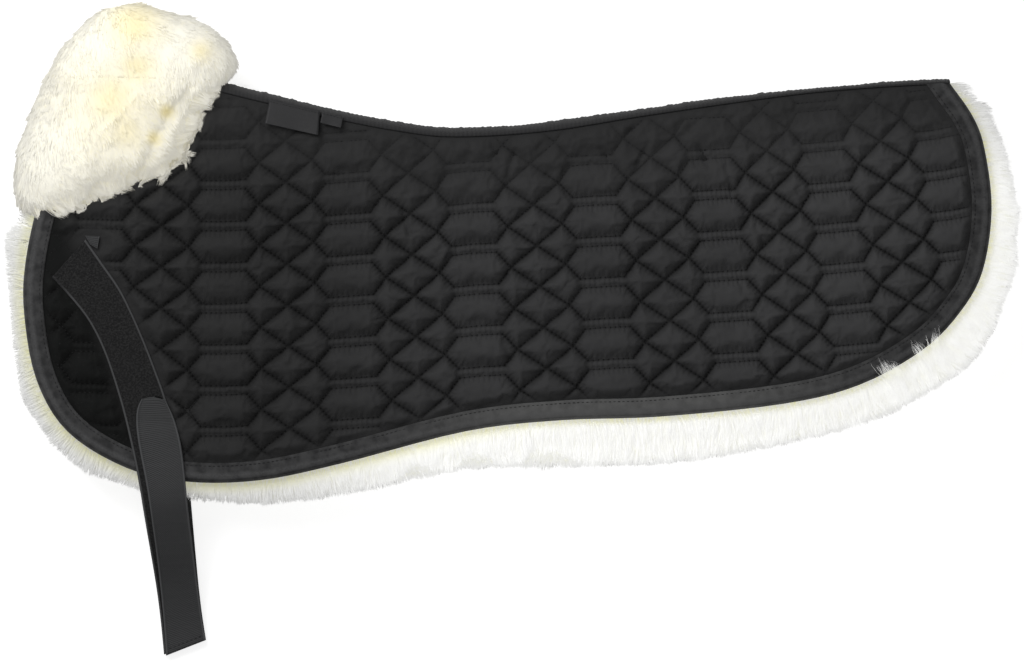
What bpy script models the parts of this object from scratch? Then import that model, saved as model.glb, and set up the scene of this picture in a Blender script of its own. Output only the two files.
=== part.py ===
"""Contoured sheepskin half pad, folded in half along its spine and lying on its off side.

Every layer is first modelled flat. A point's height there is its distance from the fold's middle
surface, upwards on the near panel and downwards on the off one. The finished layer is then draped:
the middle surface lies level and climbs towards the pommel, where the off side of the fleece roll
lies under the pad.
"""

import math

import bmesh
import bpy
from mathutils import Vector

MM = 0.001
NEAR, OFF = 1, -1

# Thicknesses of the layers, and the gap kept between neighbours
GAP = 0.3 * MM
PILE = 13.7 * MM
HIDE = 2.5 * MM
SKIVED_HIDE = 1.2 * MM
WADDING = 3.2 * MM
COTTON = 1.0 * MM
PILLOW = 4.4 * MM
BINDING = 0.9 * MM
STRAP = 1.0 * MM
LABEL = 1.2 * MM
ROLL_HIDE = 1.2 * MM
WEBBING = 1.4 * MM
PRESSED_FLAT = 0.5 * MM

# Heights of the layers above the middle surface
WOOL_TOP = GAP + PILE
HIDE_UNDER = WOOL_TOP + GAP
HIDE_TOP = HIDE_UNDER + HIDE
HIDE_EDGE_UNDER = HIDE_TOP - SKIVED_HIDE
WADDING_UNDER = HIDE_TOP + GAP
WADDING_TOP = WADDING_UNDER + WADDING
COVER_UNDER = WADDING_TOP + GAP
COVER_TOP = COVER_UNDER + COTTON
STRAP_UNDER = COVER_TOP + GAP

# Widths in plan
BINDING_WIDTH = 12.5 * MM
BINDING_UNDER_WIDTH = 10.6 * MM
BINDING_SHOULDER = 3.75 * MM
BINDING_NOSE = 2.2 * MM
QUILTING_INSET = 13.0 * MM
WADDING_INSET = QUILTING_INSET + 0.6 * MM
SKIVE_INSET = BINDING_WIDTH - 1.0 * MM
WOOL_BELOW_SPINE = 15.0 * MM

# The tape's nose is rounded: how far in and how far from the lips its cheeks lie
CHEEK_IN = 0.6 * MM
CHEEK_FROM_LIP = 0.9 * MM

# The edge of the wool in section: how far inside the outline, and at what share of the pile
WOOL_EDGE = ((0.0, 0.0), (0.0, 0.42), (1.2 * MM, 0.66), (4.0 * MM, 0.88), (9.0 * MM, 1.0))

# The sewn pattern: long hexagons in columns, with diamonds between the columns
PATTERN_LENGTH = 76.2 * MM
PATTERN_HEIGHT = 25.4 * MM
HEXAGON_TIP = 21.5 * MM
HEXAGON_SHOULDER = 13.6 * MM
HEXAGON_HALF_HEIGHT = 9.9 * MM
PATTERN_BEND = 2300 * MM
PATTERN_FOOT = Vector((-176.1, 31.3)) * MM
PATTERN_ROW_SHIFT = -0.7 * MM
DIAMOND_LIFT = 0.88
SEAM_LIFT = 0.05 * MM

# How sewing and wear have drawn the pattern, by the place along its rows: along the rows, and across them
DRAWN_ALONG = (
    (-76.2 * MM, -4.0 * MM),
    (0.0, -2.9 * MM),
    (76.2 * MM, -0.5 * MM),
    (152.4 * MM, 0.6 * MM),
    (228.6 * MM, 2.8 * MM),
    (304.8 * MM, 2.0 * MM),
    (381.0 * MM, -2.5 * MM),
    (457.2 * MM, -6.0 * MM),
)
DRAWN_ACROSS = (
    (0.0, -3.7 * MM),
    (76.2 * MM, 0.0),
    (152.4 * MM, 3.0 * MM),
    (228.6 * MM, 1.0 * MM),
    (304.8 * MM, -4.0 * MM),
    (381.0 * MM, -10.0 * MM),
    (457.2 * MM, -15.0 * MM),
)

# Where the padding fades out: distances from the edge, the roll and the strap's middle line
FADE_AT_EDGE = (9 * MM, 24 * MM)
FADE_AT_ROLL = (8 * MM, 20 * MM)
FADE_AT_STRAP = (28 * MM, 36 * MM)

# The pommel roll, from its underside to its crown, as shares of its outline and heights
ROLL_MIDDLE = Vector((-243, 137)) * MM
ROLL_RINGS = ((0.50, -38.5), (0.90, -33.0), (1.03, -14.0), (1.03, 12.0), (0.96, 34.0), (0.56, 52.0))
ROLL_UNDERSIDE = 38.5 * MM
ROLL_OVERHANG = 9 * MM
ROLL_CLEARANCE = 0.4 * MM

# The spine band: how far it bulges past the panels' edges, which is less towards the rear
BAND_FRONT = -176 * MM
BAND_OFF_EDGE = 0.5 * MM
BAND_BULGE = 3.4 * MM
BAND_BULGE_REAR = 0.8 * MM
BAND_EASES = (40 * MM, 150 * MM)
BAND_ANGLES = range(-88, 89, 22)

# The drape: how far the middle surface has climbed along a line that runs up to the pommel
CLIMB_START = Vector((-293.3, 75.3)) * MM
CLIMB_DIRECTION = Vector((-0.555, 0.832)).normalized()
LEVEL = COVER_TOP + PILLOW - PRESSED_FLAT
LEVEL_AT_ROLL = ROLL_UNDERSIDE - PRESSED_FLAT
CLIMB = ((-190 * MM, 0.0), (-130 * MM, 0.24), (-65 * MM, 0.73), (0.0, 1.0))

# How a strap steps over the binding, and how the near one then falls to the floor, by its place in Y
BINDING_STEP = ((-56 * MM, 0.0), (-66 * MM, BINDING + GAP))
NEAR_FALL = (
    (-96 * MM, 0.0),
    (-108 * MM, 2.0 * MM),
    (-120 * MM, 8.0 * MM),
    (-132 * MM, 17.0 * MM),
    (-144 * MM, 26.0 * MM),
    (-156 * MM, 33.5 * MM),
    (-170 * MM, 39.5 * MM),
    (-186 * MM, 43.5 * MM),
    (-206 * MM, 45.3 * MM),
)

# Joint axes: the fold's ends, and the sewn ends of the straps, in plan
FOLD_FRONT = Vector((-248, 156.0)) * MM
FOLD_REAR = Vector((272, 145.0)) * MM
STRAP_ROOT = (Vector((-284.0, 33.0)) * MM, Vector((-261.0, 53.0)) * MM)
STRAP_END = (Vector((-217.0, -202.8)) * MM, Vector((-192.2, -193.1)) * MM)

# Each finish: its colour and its roughness
FINISHES = {
    "black cotton": ((0.012, 0.012, 0.014), 0.85),
    "wadding": ((0.75, 0.75, 0.72), 0.95),
    "tanned hide": ((0.62, 0.52, 0.38), 0.7),
    "fleece": ((0.88, 0.85, 0.74), 0.95),
    "binding tape": ((0.045, 0.045, 0.047), 0.7),
    "loop tape": ((0.03, 0.03, 0.03), 0.95),
    "hook tape": ((0.038, 0.04, 0.042), 0.6),
    "spine webbing": ((0.06, 0.06, 0.062), 0.8),
    "tag cloth": ((0.02, 0.02, 0.022), 0.6),
}


def plan(*points):
    """Points in plan, given in millimetres."""
    return [Vector(point) * MM for point in points]


# Lines in plan, as the panel lies
SPINE = plan(
    (-248.6, 167.1), (-215.8, 158.4), (-180.4, 148.5), (-115.3, 133.0), (-70.1, 124.3), (-34.7, 120.9),
    (22.3, 124.6), (84.3, 134.4), (167.4, 146.2), (218.2, 151.1), (270.9, 154.2),
)
BOUND_EDGE = plan(
    (270.9, 154.2), (285.2, 133.6), (292.6, 113.2), (297.0, 76.0), (291.4, 37.5), (277.1, 11.5),
    (254.2, -11.5), (215.1, -33.2), (168.0, -45.0), (91.1, -53.0), (30.4, -55.2), (-29.1, -62.0),
    (-107.3, -82.2), (-156.9, -92.4), (-202.1, -93.3), (-239.9, -84.6), (-275.9, -62.3), (-295.1, -30.1),
    (-302.6, 11.5), (-301.5, 43.7), (-292.5, 84.0), (-276.0, 130.0), (-248.6, 167.1),
)
WOOL_SPILL = plan(
    (292.0, 138.5), (303.8, 116.9), (312.5, 72.2), (307.5, 27.0), (288.0, -14.0), (243.0, -45.0),
    (208.9, -58.2), (146.9, -73.0), (91.1, -80.0), (29.1, -82.2), (-26.7, -83.8), (-82.5, -95.0),
    (-132.1, -104.0), (-163.1, -105.5), (-200.3, -102.6), (-237.5, -95.3), (-268.5, -83.6), (-290.5, -62.0),
    (-305.9, -30.0), (-311.0, 15.2), (-313.5, 45.0), (-312.0, 62.0),
)
WOOL_UNDER_ROLL = plan((-296.5, 65.5), (-290.0, 88.0), (-274.5, 130.0), (-260.0, 150.0))
ROLL_OUTLINE = plan(
    (-314, 70), (-311, 106), (-299, 138), (-285, 174), (-262, 201), (-234, 208), (-203, 199),
    (-172, 184), (-167, 161), (-188, 146), (-198, 113), (-214, 93), (-248, 80), (-281, 68),
)
LOOP_TAPE_RIGHT = plan(
    (-261.0, 53.0), (-249.2, 35.6), (-241.8, 25.1), (-233.1, 5.9), (-226.3, -10.2), (-220.1, -27.0),
    (-213.4, -45.4), (-207.9, -73.5), (-204.6, -98.3), (-201.2, -129.3), (-197.6, -166.5), (-193.6, -193.6),
)
LOOP_TAPE_LEFT = plan(
    (-284.0, 33.0), (-270.9, 17.7), (-262.9, 7.8), (-254.8, -7.8), (-249.2, -23.2), (-243.7, -41.2),
    (-239.3, -58.0), (-233.1, -85.9), (-229.4, -108.2), (-225.1, -141.7), (-221.3, -169.6), (-218.4, -202.2),
)
HOOK_TAPE_RIGHT = plan(
    (-214.5, -43.7), (-210.2, -52.4), (-205.8, -66.7), (-203.4, -85.9), (-201.5, -108.2), (-199.0, -136.1),
    (-195.9, -169.6), (-192.2, -193.1),
)
HOOK_TAPE_LEFT = plan(
    (-230.0, -41.9), (-234.4, -51.1), (-231.3, -74.7), (-226.3, -97.0), (-222.6, -130.5), (-218.8, -175.7),
    (-217.0, -202.8),
)
HOOK_TAPE_TIP = plan((-220.1, -38.8))
LABEL_TAG = plan((-150.2, 143.6), (-119.8, 136.4), (-121.5, 122.5), (-153.1, 129.8))
SIZE_TAG = plan((-117.6, 135.4), (-105.0, 132.4), (-106.3, 126.0), (-118.9, 129.0))


def smooth_line(points, steps):
    """A Catmull-Rom curve through the points, with this many steps from each to the next."""
    ends = [points[0] * 2 - points[1]] + points + [points[-1] * 2 - points[-2]]
    line = []
    for a, b, c, d in zip(ends, ends[1:], ends[2:], ends[3:]):
        for step in range(steps):
            t = step / steps
            line.append(
                0.5 * (2 * b + (c - a) * t + (2 * a - 5 * b + 4 * c - d) * t**2 + (3 * b - a - 3 * c + d) * t**3)
            )
    return line + [points[-1]]


def inset(outline, distance):
    """The closed outline moved inwards. It runs clockwise, so inwards is to its right."""
    moved = []
    count = len(outline)
    for i, point in enumerate(outline):
        before = (point - outline[i - 1]).normalized()
        after = (outline[(i + 1) % count] - point).normalized()
        inwards = Vector((before.y + after.y, -before.x - after.x)).normalized()
        corner = max(0.5, Vector((before.y, -before.x)).dot(inwards))
        moved.append(point + inwards * distance / corner)
    return moved


def nearest(line, point):
    """The least distance from a point to a line of straight pieces."""
    least = math.inf
    for a, b in zip(line, line[1:]):
        along = b - a
        share = max(0.0, min(1.0, (point - a).dot(along) / along.length_squared))
        least = min(least, (point - a - along * share).length)
    return least


def inside(outline, point):
    crossings = 0
    for a, b in zip(outline, outline[1:] + outline[:1]):
        if (a.y > point.y) != (b.y > point.y):
            crossings += point.x < a.x + (point.y - a.y) * (b.x - a.x) / (b.y - a.y)
    return crossings % 2 == 1


def ease(value, low, high):
    """0 below low, 1 above high, and smooth between them."""
    share = max(0.0, min(1.0, (value - low) / (high - low)))
    return share * share * (3 - 2 * share)


def read_off(table, value):
    """A value along a table of (place, height) pairs, in either order of places."""
    rows = sorted(table)
    if value <= rows[0][0]:
        return rows[0][1]
    for (a, low), (b, high) in zip(rows, rows[1:]):
        if value <= b:
            return low + (high - low) * (value - a) / (b - a)
    return rows[-1][1]


def middle_height(place):
    """How high the middle surface lies above the floor."""
    share = read_off(CLIMB, (place - CLIMB_START).dot(CLIMB_DIRECTION))
    return LEVEL + (LEVEL_AT_ROLL - LEVEL) * share


SPINE_LINE = smooth_line(SPINE, 3)
BOUND_LINE = smooth_line(BOUND_EDGE, 2)
PANEL = SPINE_LINE[:-1] + BOUND_LINE[:-1]
ROLL_FOOT = smooth_line(ROLL_OUTLINE + ROLL_OUTLINE[:1], 1)
STRAP_MIDDLE = [(a + b) / 2 for a, b in zip(LOOP_TAPE_LEFT, LOOP_TAPE_RIGHT)]


def collection(name):
    made = bpy.data.collections.new(name)
    bpy.context.scene.collection.children.link(made)
    return made


def material(name):
    made = bpy.data.materials.get(name) or bpy.data.materials.new(name)
    colour, roughness = FINISHES[name]
    made.use_nodes = True
    shader = made.node_tree.nodes["Principled BSDF"]
    shader.inputs["Base Color"].default_value = (*colour, 1.0)
    shader.inputs["Roughness"].default_value = roughness
    shader.inputs["Metallic"].default_value = 0.0
    made.diffuse_color = (*colour, 1.0)
    return made


def cut_along(bm, place, normal, remove=False):
    """Divides the mesh along a plane, or removes what the normal points away from and closes the cut."""
    parts = bm.verts[:] + bm.edges[:] + bm.faces[:]
    bmesh.ops.bisect_plane(bm, geom=parts, dist=1e-7, plane_co=place, plane_no=normal, clear_inner=remove)
    if remove:
        bmesh.ops.holes_fill(bm, edges=[edge for edge in bm.edges if edge.is_boundary], sides=0)


def loft(rings):
    """A body through closed rings with equal numbers of points."""
    bm = bmesh.new()
    rows = [[bm.verts.new(point) for point in ring] for ring in rings]
    for low, high in zip(rows, rows[1:]):
        for i in range(len(low)):
            bm.faces.new((low[i - 1], low[i], high[i], high[i - 1]))
    bm.faces.new(rows[0])
    bm.faces.new(reversed(rows[-1]))
    bmesh.ops.recalc_face_normals(bm, faces=bm.faces)
    return bm


def level(outline, height):
    return [Vector((point.x, point.y, height)) for point in outline]


def slab(outline, low, high):
    return loft([level(outline, low), level(outline, high)])


def mesh_object(name, bm, group):
    mesh = bpy.data.meshes.new(name)
    bm.to_mesh(mesh)
    bm.free()
    made = bpy.data.objects.new(name, mesh)
    group.objects.link(made)
    return made


def combined(first, second, operation):
    """A bmesh of two bodies joined, cut or crossed."""
    target = mesh_object("first_body", first, CUTTERS)
    tool = mesh_object("second_body", second, CUTTERS)
    for helper in (target, tool):
        helper.hide_render = True
        helper.display_type = "WIRE"
    modifier = target.modifiers.new(operation.lower(), "BOOLEAN")
    modifier.operation = operation
    modifier.solver = "EXACT"
    modifier.object = tool
    made = evaluated(target)
    for helper in (target, tool):
        bpy.data.objects.remove(helper)
    return made


def evaluated(source):
    """The object's mesh with its modifiers, as a bmesh."""
    bpy.context.view_layer.update()
    graph = bpy.context.evaluated_depsgraph_get()
    mesh = bpy.data.meshes.new_from_object(source.evaluated_get(graph))
    bm = bmesh.new()
    bm.from_mesh(mesh)
    bpy.data.meshes.remove(mesh)
    return bm


def drape(bm, side):
    """Turns a flat layer over for the off side, and lays it on the middle surface."""
    if side == OFF:
        bmesh.ops.scale(bm, vec=(1, 1, -1), verts=bm.verts)
        bmesh.ops.reverse_faces(bm, faces=bm.faces)
    normal = CLIMB_DIRECTION.to_3d()
    for place, _ in CLIMB:
        cut_along(bm, CLIMB_START.to_3d() + normal * place, normal)
    for vert in bm.verts:
        vert.co.z += middle_height(vert.co.xy)


def press_on_floor(bm):
    """Cuts flat what the pad's weight presses against the floor."""
    cut_along(bm, Vector((0, 0, 0)), Vector((0, 0, 1)), remove=True)


def finished(name, bm, finish, smooth=40):
    made = mesh_object(name, bm, PAD)
    made.data.materials.append(material(finish))
    made.data.shade_smooth()
    made.data.set_sharp_from_angle(angle=math.radians(smooth))
    return made


def quilting_cells():
    """The sewn cells as flat outlines in the pattern's own plane, each with its share of the padding."""
    tip, shoulder, half = HEXAGON_TIP, HEXAGON_SHOULDER, HEXAGON_HALF_HEIGHT
    length, height = PATTERN_LENGTH, PATTERN_HEIGHT
    hexagon = ((-tip, 0), (-shoulder, half), (shoulder, half), (tip, 0), (shoulder, -half), (-shoulder, -half))
    ladder = ((-shoulder, half), (-shoulder, height - half), (shoulder, height - half), (shoulder, half))
    crossing = (length / 2, height / 2)
    right = ((shoulder, half), (shoulder, height - half), (tip, height), crossing, (tip, 0))
    left = tuple((-x, y) for x, y in reversed(right))
    middle = ((tip, 0), crossing, (length - tip, 0), (length / 2, -height / 2))
    cells = ((hexagon, 1.0), (ladder, 0.0)) + tuple((cell, DIAMOND_LIFT) for cell in (right, left, middle))
    for column in range(-2, 8):
        for row in range(-8, 9):
            shift = Vector((column * length, row * height))
            for cell, share in cells:
                yield [Vector(point) + shift for point in cell], share


def on_panel(place):
    """From the pattern's plane to the panel, where the cloth is drawn and the rows bend up towards the rear."""
    turn = (place.x + read_off(DRAWN_ALONG, place.x)) / PATTERN_BEND
    reach = PATTERN_BEND - place.y - read_off(DRAWN_ACROSS, place.x) - PATTERN_ROW_SHIFT
    centre = PATTERN_FOOT + Vector((0, PATTERN_BEND))
    return centre + Vector((math.sin(turn), -math.cos(turn))) * reach


def pillow_height(place):
    """How far the wadding lifts the cotton: not at the edges, under the roll or under the strap."""
    if inside(ROLL_FOOT, place):
        return 0.0
    lift = ease(nearest(PANEL + PANEL[:1], place), *FADE_AT_EDGE)
    lift *= ease(nearest(ROLL_FOOT, place), *FADE_AT_ROLL)
    lift *= ease(nearest(STRAP_MIDDLE, place), *FADE_AT_STRAP)
    return PILLOW * lift


def quilting():
    """The sewn face of the cotton as a body: seams low, and each padded cell lifted at its middle."""
    bm = bmesh.new()
    heights = {}
    for cell, share in quilting_cells():
        face = bm.faces.new([bm.verts.new(on_panel(point).to_3d()) for point in cell])
        if share > 0:
            middle = bmesh.ops.poke(bm, faces=[face])["verts"][0]
            heights[middle] = share * pillow_height(middle.co.xy)
    for vert in bm.verts:
        vert.co.z = COVER_TOP + SEAM_LIFT + heights.get(vert, 0.0)
    bmesh.ops.remove_doubles(bm, verts=bm.verts, dist=0.02 * MM)
    under = bmesh.ops.extrude_face_region(bm, geom=bm.faces[:])["geom"]
    for vert in under:
        if isinstance(vert, bmesh.types.BMVert):
            vert.co.z = COVER_TOP - 0.5 * COTTON
    bmesh.ops.recalc_face_normals(bm, faces=bm.faces)
    return bm


def cotton_outline():
    """Where the cotton is cut: along the spine, and within the nose of the binding elsewhere."""
    edge = inset(PANEL, BINDING_NOSE)
    from_corner = (SPINE_LINE[-2] - SPINE_LINE[-1]).normalized() * 1.2 * BINDING_NOSE
    return edge[:1] + SPINE_LINE[1:-1] + [SPINE_LINE[-1] + from_corner] + edge[len(SPINE_LINE):]


def quilted_cover(prefix, side):
    window = slab(inset(PANEL, QUILTING_INSET), WADDING_TOP, COVER_TOP + 2 * PILLOW)
    sewn = combined(quilting(), window, "INTERSECT")
    blank = slab(cotton_outline(), COVER_UNDER, COVER_TOP)
    bm = combined(blank, sewn, "UNION")
    bmesh.ops.dissolve_degenerate(bm, dist=0.005 * MM, edges=bm.edges)
    drape(bm, side)
    if side == OFF:
        press_on_floor(bm)
    return finished(prefix + "quilted_cover", bm, "black cotton", 70)


def wadding(prefix, side):
    bm = slab(inset(PANEL, WADDING_INSET), WADDING_UNDER, WADDING_TOP)
    drape(bm, side)
    return finished(prefix + "wadding", bm, "wadding")


def sheepskin_hide(prefix, side):
    """The hide, skived thin from below along its edge so that the binding can fold round it."""
    edge = inset(PANEL, BINDING_NOSE)
    skive = inset(PANEL, SKIVE_INSET)
    rings = [
        level(skive, HIDE_UNDER),
        level(skive, HIDE_EDGE_UNDER),
        level(edge, HIDE_EDGE_UNDER),
        level(edge, HIDE_TOP),
    ]
    bm = loft(rings)
    drape(bm, side)
    return finished(prefix + "sheepskin_hide", bm, "tanned hide")


def wool_outline():
    """The lining's outline: back from the spine, past the bound edge, and within the edge under the roll."""
    spine = [point - Vector((0, WOOL_BELOW_SPINE)) for point in SPINE_LINE[2:-2]]
    return spine + smooth_line(WOOL_SPILL, 2) + smooth_line(WOOL_UNDER_ROLL, 2)


def fleece_lining(prefix, side):
    outline = wool_outline()
    bm = loft([level(inset(outline, inwards), GAP + share * PILE) for inwards, share in WOOL_EDGE])
    drape(bm, side)
    return finished(prefix + "fleece_lining", bm, "fleece")


def edge_binding(prefix, side):
    """Tape folded round the edge: a lip on the cotton, a round nose, and a lip under the hide.

    At the rear it runs on past the corner and is cut off along the spine.
    """
    top, under = COVER_TOP + GAP, HIDE_EDGE_UNDER - GAP
    inner = BINDING_NOSE - GAP
    section = (
        (BINDING_WIDTH, top + BINDING), (BINDING_SHOULDER, top + BINDING), (CHEEK_IN, top - CHEEK_FROM_LIP),
        (0, (top + under) / 2), (CHEEK_IN, under + CHEEK_FROM_LIP), (BINDING_SHOULDER, under - BINDING),
        (BINDING_UNDER_WIDTH, under - BINDING), (BINDING_UNDER_WIDTH, under), (inner, under), (inner, top),
        (BINDING_WIDTH, top),
    )
    path = [BOUND_LINE[0] + (BOUND_LINE[0] - BOUND_LINE[1]).normalized() * BINDING_WIDTH] + BOUND_LINE[1:]
    rings = []
    for i, point in enumerate(path):
        along = (path[min(i + 1, len(path) - 1)] - path[max(i - 1, 0)]).normalized()
        inwards = Vector((along.y, -along.x))
        rings.append([(point + inwards * across).to_3d() + Vector((0, 0, up)) for across, up in section])
    bm = loft(rings)
    spine = (SPINE_LINE[-1] - SPINE_LINE[-2]).normalized()
    cut_along(bm, SPINE_LINE[-1].to_3d(), Vector((spine.y, -spine.x, 0)), remove=True)
    drape(bm, side)
    return finished(prefix + "edge_binding", bm, "binding tape")


def on_strap(bm, side):
    """Steps a flat tape over the binding, lets the near one fall to the floor, and drapes it."""
    falls = BINDING_STEP + (NEAR_FALL if side == NEAR else ())
    for place, _ in falls:
        cut_along(bm, Vector((0, place, 0)), Vector((0, 1, 0)))
    for vert in bm.verts:
        vert.co.z += read_off(BINDING_STEP, vert.co.y)
        if side == NEAR:
            vert.co.z -= read_off(NEAR_FALL, vert.co.y)
    drape(bm, side)


def loop_tape(prefix, side):
    outline = smooth_line(LOOP_TAPE_RIGHT, 2) + smooth_line(LOOP_TAPE_LEFT, 2)[::-1]
    bm = slab(outline, STRAP_UNDER, STRAP_UNDER + STRAP)
    on_strap(bm, side)
    return finished(prefix + "strap_loop_tape", bm, "loop tape")


def hook_tape(prefix, side):
    outline = smooth_line(HOOK_TAPE_RIGHT, 2) + smooth_line(HOOK_TAPE_LEFT, 2)[::-1] + HOOK_TAPE_TIP
    under = STRAP_UNDER + STRAP + GAP
    bm = slab(outline, under, under + STRAP)
    on_strap(bm, side)
    return finished(prefix + "strap_hook_tape", bm, "hook tape")


def roll_hide(prefix, side):
    """The roll's own leather, sewn over the front corner of the quilt."""
    foot = slab(inset(ROLL_FOOT[:-1], ROLL_OVERHANG), COVER_TOP + GAP, COVER_TOP + GAP + ROLL_HIDE)
    panel = slab(inset(PANEL, BINDING_WIDTH + GAP), WADDING_TOP, COVER_TOP + PILLOW)
    bm = combined(foot, panel, "INTERSECT")
    drape(bm, side)
    return finished(prefix + "roll_hide", bm, "tanned hide")


def whole_roll():
    """The fleece roll of both sides in one, rounded from a coarse cage."""
    rings = []
    for share, height in ROLL_RINGS:
        outline = [ROLL_MIDDLE + (point - ROLL_MIDDLE) * share for point in ROLL_OUTLINE]
        rings.append(level(outline, height * MM))
    cage = mesh_object("roll_cage", loft(rings), CUTTERS)
    rounded = cage.modifiers.new("rounded", "SUBSURF")
    rounded.levels = 2
    rounded.render_levels = 2
    bm = evaluated(cage)
    bpy.data.objects.remove(cage)
    return bm


def panel_room(side):
    """The space that a panel and its own roll hide take up inside the roll."""
    top = COVER_TOP + 2 * GAP + ROLL_HIDE
    low, high = (-GAP, top) if side == NEAR else (-top, GAP)
    return slab(inset(PANEL, -ROLL_CLEARANCE), low, high)


def fold_normal():
    """In plan, square to the fold and away from the panels."""
    along = (FOLD_REAR - FOLD_FRONT).normalized()
    return Vector((-along.y, along.x, 0))


def roll_fleece(prefix, side):
    bm = whole_roll()
    cut_along(bm, Vector((0, 0, side * GAP)), Vector((0, 0, side)), remove=True)
    cut_along(bm, FOLD_FRONT.to_3d() - fold_normal() * GAP, -fold_normal(), remove=True)
    bm = combined(bm, panel_room(side), "DIFFERENCE")
    drape(bm, NEAR)
    if side == OFF:
        press_on_floor(bm)
    return finished(prefix + "roll_fleece", bm, "fleece")


def roll_crown():
    """The fleece of the roll that turns over the fold."""
    bm = whole_roll()
    cut_along(bm, FOLD_FRONT.to_3d() + fold_normal() * GAP, fold_normal(), remove=True)
    for side in (NEAR, OFF):
        bm = combined(bm, panel_room(side), "DIFFERENCE")
    drape(bm, NEAR)
    return finished("roll_crown", bm, "fleece")


def band_line():
    """The spine from where the band comes out of the roll."""
    bare = [point for point in SPINE_LINE if point.x > BAND_FRONT]
    before = SPINE_LINE[-len(bare) - 1]
    share = (BAND_FRONT - before.x) / (bare[0].x - before.x)
    return [before.lerp(bare[0], share)] + bare


def spine_band():
    """Webbing that bulges round the fold from one panel's seam to the other's."""
    turns = [math.radians(angle) for angle in BAND_ANGLES]
    rings = []
    for point in band_line():
        bulge = BAND_BULGE + (BAND_BULGE_REAR - BAND_BULGE) * ease(point.x, *BAND_EASES)
        foot = point.y + BAND_OFF_EDGE
        outer = [(foot + (bulge + WEBBING) * math.cos(a), COVER_TOP * math.sin(a)) for a in turns]
        inner = [(foot + bulge * math.cos(a), (COVER_TOP - WEBBING) * math.sin(a)) for a in reversed(turns)]
        rings.append([Vector((point.x, y, z)) for y, z in outer + inner])
    bm = loft(rings)
    drape(bm, NEAR)
    return finished("spine_band", bm, "spine webbing")


def tag(name, outline):
    under = COVER_TOP + PILLOW + GAP
    bm = slab(outline, under, under + LABEL)
    drape(bm, NEAR)
    return finished(name, bm, "tag cloth")


def empty_at(name, place):
    made = bpy.data.objects.new(name, None)
    made.location = place
    made.empty_display_size = 0.03
    PAD.objects.link(made)
    return made


def hang(pieces, carrier):
    """Parents finished pieces to the empty on their joint's axis, where they are."""
    bpy.context.view_layer.update()
    for piece in pieces:
        piece.parent = carrier
        piece.matrix_parent_inverse = carrier.matrix_world.inverted()


def strap_axis_points(side):
    """The middles of a strap's sewn root and of its lower end, on their hinge lines."""
    root = (STRAP_ROOT[0] + STRAP_ROOT[1]) / 2
    end = (STRAP_END[0] + STRAP_END[1]) / 2
    root_height = middle_height(root) + side * STRAP_UNDER
    end_height = STRAP_UNDER + STRAP + GAP + read_off(BINDING_STEP, end.y)
    if side == NEAR:
        end_height -= read_off(NEAR_FALL, end.y)
    return root.to_3d() + Vector((0, 0, root_height)), end.to_3d() + Vector(
        (0, 0, middle_height(end) + side * end_height)
    )


def build_side(prefix, side):
    panel = [
        quilted_cover(prefix, side),
        wadding(prefix, side),
        sheepskin_hide(prefix, side),
        fleece_lining(prefix, side),
        edge_binding(prefix, side),
        roll_hide(prefix, side),
        roll_fleece(prefix, side),
    ]
    root, end = strap_axis_points(side)
    strap_carrier = empty_at(prefix + "strap_root_axis", root)
    tab_carrier = empty_at(prefix + "strap_end_axis", end)
    hang([loop_tape(prefix, side)], strap_carrier)
    hang([hook_tape(prefix, side)], tab_carrier)
    hang([tab_carrier], strap_carrier)
    return panel, strap_carrier


for old in list(bpy.data.objects):
    bpy.data.objects.remove(old)
PAD = collection("sheepskin_half_pad")
CUTTERS = collection("cutters")

near_panel, near_strap_carrier = build_side("near_", NEAR)
build_side("off_", OFF)
tags = [tag("label_tag", LABEL_TAG), tag("size_tag", SIZE_TAG)]
spine_band()
roll_crown()

fold_middle = (FOLD_FRONT + FOLD_REAR) / 2
fold_height = (middle_height(FOLD_FRONT) + middle_height(FOLD_REAR)) / 2
fold_carrier = empty_at("fold_axis", fold_middle.to_3d() + Vector((0, 0, fold_height)))
hang(near_panel + tags + [near_strap_carrier], fold_carrier)
bpy.context.view_layer.update()
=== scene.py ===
"""The finish of a sheepskin half pad that lies folded along its spine, seen from straight above.

Every layer is made flat first. A point's height there is its distance from the fold's middle
surface, upwards on the near panel and downwards on the off one. Draping then lays it on that
surface, which climbs towards the pommel.
"""

import math

import bmesh
import bpy
import numpy as np
from mathutils.kdtree import KDTree
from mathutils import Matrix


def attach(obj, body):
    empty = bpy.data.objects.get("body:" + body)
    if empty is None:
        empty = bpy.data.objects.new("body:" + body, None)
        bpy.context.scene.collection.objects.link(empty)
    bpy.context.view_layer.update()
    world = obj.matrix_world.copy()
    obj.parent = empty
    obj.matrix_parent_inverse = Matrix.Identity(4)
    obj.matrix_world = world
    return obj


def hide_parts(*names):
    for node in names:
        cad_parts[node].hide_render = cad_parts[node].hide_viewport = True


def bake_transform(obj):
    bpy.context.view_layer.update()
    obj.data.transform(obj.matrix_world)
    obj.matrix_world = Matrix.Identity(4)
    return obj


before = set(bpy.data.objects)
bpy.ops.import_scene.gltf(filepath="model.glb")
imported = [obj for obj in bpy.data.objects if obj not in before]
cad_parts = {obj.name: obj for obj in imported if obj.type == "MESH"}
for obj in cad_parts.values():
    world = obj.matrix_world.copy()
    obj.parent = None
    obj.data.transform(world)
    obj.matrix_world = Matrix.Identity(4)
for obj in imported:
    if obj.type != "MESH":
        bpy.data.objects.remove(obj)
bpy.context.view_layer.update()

MM = 0.001
NEAR, OFF = 1, -1

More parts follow.
